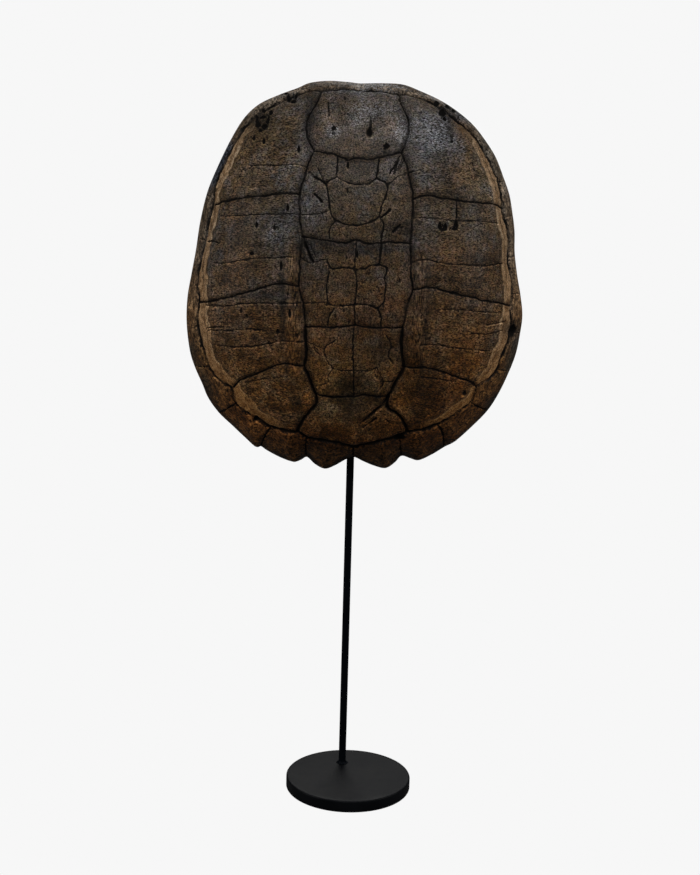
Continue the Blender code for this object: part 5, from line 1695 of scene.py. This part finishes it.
rod_side = ROD_Y - ROD_RADIUS - GAP
plate_side = PLATE_Y + PLATE_THICKNESS / 2 + GAP
arm_length = rod_side - plate_side
profile = [(0, arm_length)] + fillet(arm_length, -1)[::-1]
profile += [(ROD_RADIUS, h) for h in np.linspace(arm_length - 6, 6, 6)]
profile += fillet(0, 1) + [(0, 0)]
arm = spun("arm_finish", profile, BAR_SIDES, bar_coat,
           Matrix.Translation((ROD_X * MM, plate_side * MM, ARM_Z * MM))
           @ Matrix.Rotation(math.radians(-90), 4, "X"), bead)
finish_piece(arm, "black_steel", "arm")

# %% [markdown]
# The mounting plate and its screws
#
# A small plate lies on the flattened backbone, held by two pan-head screws. The plate
# is a bevelled box: first the four corners are rounded, then the brims are softened.
# The screws are the same piece twice, so a Geometry Nodes tree puts one screw at each
# point, turned by chance, and makes the copies real.

# %% Plate
PLATE_WIDTH, PLATE_HEIGHT, PLATE_CORNER, PLATE_BEVEL = 24.0, 64.0, 4.0, 0.4


def run_in_y(edge):
    """How far an edge runs through the plate, from front to back."""
    return abs((edge.verts[0].co - edge.verts[1].co).y)


shape = bmesh.new()
bmesh.ops.create_cube(shape, size=1.0)
bmesh.ops.scale(shape, verts=shape.verts,
                vec=(PLATE_WIDTH * MM, PLATE_THICKNESS * MM, PLATE_HEIGHT * MM))
corners = [edge for edge in shape.edges if run_in_y(edge) > MM]
bmesh.ops.bevel(shape, geom=corners, offset=PLATE_CORNER * MM, segments=8, profile=0.5,
                affect="EDGES")
brims = [edge for edge in shape.edges if run_in_y(edge) < 0.1 * MM]
bmesh.ops.bevel(shape, geom=brims, offset=PLATE_BEVEL * MM, segments=3, profile=0.5,
                affect="EDGES")
bmesh.ops.recalc_face_normals(shape, faces=shape.faces)
plate_mesh = bpy.data.meshes.new("plate_finish")
shape.to_mesh(plate_mesh)
shape.free()
plate_mesh.transform(Matrix.Translation((ROD_X * MM, PLATE_Y * MM, ARM_Z * MM)))
plate_mesh.materials.append(bar_coat)
plate = add_object("plate_finish", plate_mesh)
finish_piece(plate, "black_steel", "mount_plate")

# %% Zinc of the screws
ZINC_DARK, ZINC_LIGHT = (0.13, 0.125, 0.115, 1.0), (0.30, 0.29, 0.27, 1.0)
screw_steel = bpy.data.materials.new("zinc_screw")
screw_steel.use_nodes = True
tree = screw_steel.node_tree
shader = tree.nodes["Principled BSDF"]
where = add_node(tree, "ShaderNodeTexCoord").outputs["Object"]
brushed = noise_of(tree, where, 900.0, 3.0, 0.6)
tree.links.new(blend(tree, brushed, ZINC_DARK, ZINC_LIGHT), shader.inputs["Base Color"])
tree.links.new(fade(tree, brushed, 0.3, 0.7, 0.3, 0.5), shader.inputs["Roughness"])
shader.inputs["Metallic"].default_value = 1.0
print("screw steel ready")

# %% One screw
HEAD_RADIUS, HEAD_HEIGHT, HEAD_ROUNDING = 4.0, 2.6, 1.3
SHANK_RADIUS, SHANK_LENGTH, POINT_LENGTH = 1.9, 15.0, 2
RECESS_LENGTH, RECESS_WIDTH, RECESS_DEPTH, RECESS_NARROWS = 4.2, 0.9, 2.4, 0.45


def cross_cutter():
    """Two crossed bars, narrower below, as the tip of a screwdriver."""
    cross = bmesh.new()
    for turn in (0, 90):
        made = bmesh.ops.create_cube(cross, size=1.0)
        bmesh.ops.scale(cross, verts=made["verts"],
                        vec=(RECESS_LENGTH * MM, RECESS_WIDTH * MM, RECESS_DEPTH * MM))
        for vert in made["verts"]:
            if vert.co.z < 0:
                vert.co.x *= RECESS_NARROWS
        bmesh.ops.rotate(cross, verts=made["verts"],
                         matrix=Matrix.Rotation(math.radians(turn), 3, "Z"))
    bmesh.ops.translate(cross, verts=cross.verts, vec=(0, 0, (HEAD_HEIGHT + 0.1) * MM))
    mesh = bpy.data.meshes.new("cross")
    cross.to_mesh(mesh)
    cross.free()
    return add_object("cross", mesh)


def screw_object():
    """A pan-head screw with a cross recess, its head up, its seat at height 0."""
    profile = [(0, HEAD_HEIGHT), (HEAD_RADIUS - 1.6, HEAD_HEIGHT)]
    profile += arc(HEAD_RADIUS - HEAD_ROUNDING, HEAD_HEIGHT - HEAD_ROUNDING, HEAD_ROUNDING,
                   80, 0, 6)
    profile += [(HEAD_RADIUS, 0), (SHANK_RADIUS, 0),
                (SHANK_RADIUS, POINT_LENGTH - SHANK_LENGTH), (0, -SHANK_LENGTH)]
    screw = spun("screw", profile, 40, screw_steel)
    cutter = cross_cutter()
    cut = screw.modifiers.new("cross", "BOOLEAN")
    cut.object, cut.operation, cut.solver, cut.use_self = cutter, "DIFFERENCE", "EXACT", True
    bake(screw)
    bpy.data.objects.remove(cutter)
    screw.data.materials.clear()
    return screw


single = screw_object()
print("one screw:", len(single.data.polygons), "faces")

# %% Screws on their points
SCREW_SPACING = 44.0
screw_tree, given = new_tree("screws at points", [
    ("Screw", "Object", None), ("Turn", "Float", 35.0), ("Seed", "Int", 3),
    ("Material", "Material", None)])
one = add_node(screw_tree, "GeometryNodeObjectInfo", {"Object": given["Screw"]})
chance = add_node(screw_tree, "FunctionNodeRandomValue", {"Seed": given["Seed"]},
                  data_type="FLOAT").outputs[1]
twist = calc(screw_tree, "RADIANS", times(screw_tree, chance, given["Turn"]))
facing = add_node(screw_tree, "FunctionNodeEulerToRotation",
                  {0: join(screw_tree, math.radians(-90), twist, 0.0)})
placed = add_node(screw_tree, "GeometryNodeInstanceOnPoints",
                  {"Points": given["Geometry"], "Instance": one.outputs["Geometry"],
                   "Rotation": facing.outputs[0]})
end_tree(screw_tree, placed.outputs[0], given["Material"])

spots = bpy.data.meshes.new("screws_finish")
spots.from_pydata([(ROD_X * MM, plate_side * MM, (ARM_Z + side * SCREW_SPACING / 2) * MM)
                   for side in (1, -1)], [], [])
screws = add_object("screws_finish", spots)
add_tree(screws, screw_tree, screw=single, material=screw_steel)
bake(screws)
bpy.data.objects.remove(single)
finish_piece(screws, "screw_steel", "screw_upper", "screw_lower")
print("screws:", len(screws.data.polygons), "faces")

# %% [markdown]
# Floor and light
#
# The photo's object stands on a plain pale ground with no visible shadow. The floor and
# the world have the same pale tone for the camera, and far less of it for the light
# they throw, because the lower half of the real shell is dark: little light comes from
# below. One big soft light above and in front gives the dome its roundness, weaker
# ones from the front and both sides fill its shadows, and one behind lights the hollow.

# %% Floor
PALE = 0.93
FLOOR_HALF_SIZE = 6.0       # in metres
floor_shape = bmesh.new()
bmesh.ops.create_grid(floor_shape, x_segments=1, y_segments=1, size=FLOOR_HALF_SIZE)
floor_mesh = bpy.data.meshes.new("floor")
floor_shape.to_mesh(floor_mesh)
floor_shape.free()
floor = add_object("floor", floor_mesh)
floor_paint = bpy.data.materials.new("pale_floor")
floor_paint.use_nodes = True
tree = floor_paint.node_tree
shader = tree.nodes["Principled BSDF"]
shader.inputs["Base Color"].default_value = (0.12, 0.12, 0.12, 1.0)
shader.inputs["Roughness"].default_value = 0.9
shader.inputs["Specular IOR Level"].default_value = 0.0
glow = add_node(tree, "ShaderNodeEmission", {"Color": (PALE, PALE, PALE, 1.0), "Strength": 1.0})
seen = add_node(tree, "ShaderNodeLightPath").outputs["Is Camera Ray"]
mixed = add_node(tree, "ShaderNodeMixShader",
                 {0: seen, 1: shader.outputs[0], 2: glow.outputs[0]})
tree.links.new(mixed.outputs[0], tree.nodes["Material Output"].inputs["Surface"])
floor_mesh.materials.append(floor_paint)
print("floor laid")

# %% World and lights
world = bpy.data.worlds.new("studio")
bpy.context.scene.world = world
world.use_nodes = True
tree = world.node_tree
seen = add_node(tree, "ShaderNodeLightPath").outputs["Is Camera Ray"]
strength = fade(tree, seen, 0.0, 1.0, 0.02, PALE)
tree.links.new(strength, tree.nodes["Background"].inputs["Strength"])
tree.nodes["Background"].inputs["Color"].default_value = WHITE

# name, place, height it aims at, width, height, watts, colour
SOFT_LIGHTS = [("key", (0.15, -1.30, 2.05), 0.5, 1.2, 0.8, 23.0, (0.97, 0.98, 1.0)),
               ("front_fill", (-0.3, -2.2, 0.15), 0.4, 1.2, 1.2, 4.0, (1.0, 0.95, 0.88)),
               ("left_fill", (-1.7, -0.5, 0.9), 0.5, 0.8, 1.2, 11.0, (1.0, 0.98, 0.96)),
               ("right_fill", (1.7, -0.5, 1.0), 0.5, 0.8, 1.2, 10.5, (1.0, 0.98, 0.96)),
               ("back_fill", (0.1, 1.75, 2.05), 0.5, 1.2, 1.2, 30.0, (1.0, 0.99, 0.97))]
for name, place, aim_height, width, height, watts, colour in SOFT_LIGHTS:
    data = bpy.data.lights.new(name, "AREA")
    data.shape, data.size, data.size_y = "RECTANGLE", width, height
    data.energy, data.color = watts, colour
    light = add_object(name, data)
    light.location = place
    beam = Vector((0.0, 0.0, aim_height)) - Vector(place)
    light.rotation_euler = beam.to_track_quat("-Z", "Y").to_euler()
print(len(SOFT_LIGHTS), "soft lights")

# %% Look at the box and finish
print("CAD box   ", [[round(v, 4) for v in corner] for corner in cad_box])
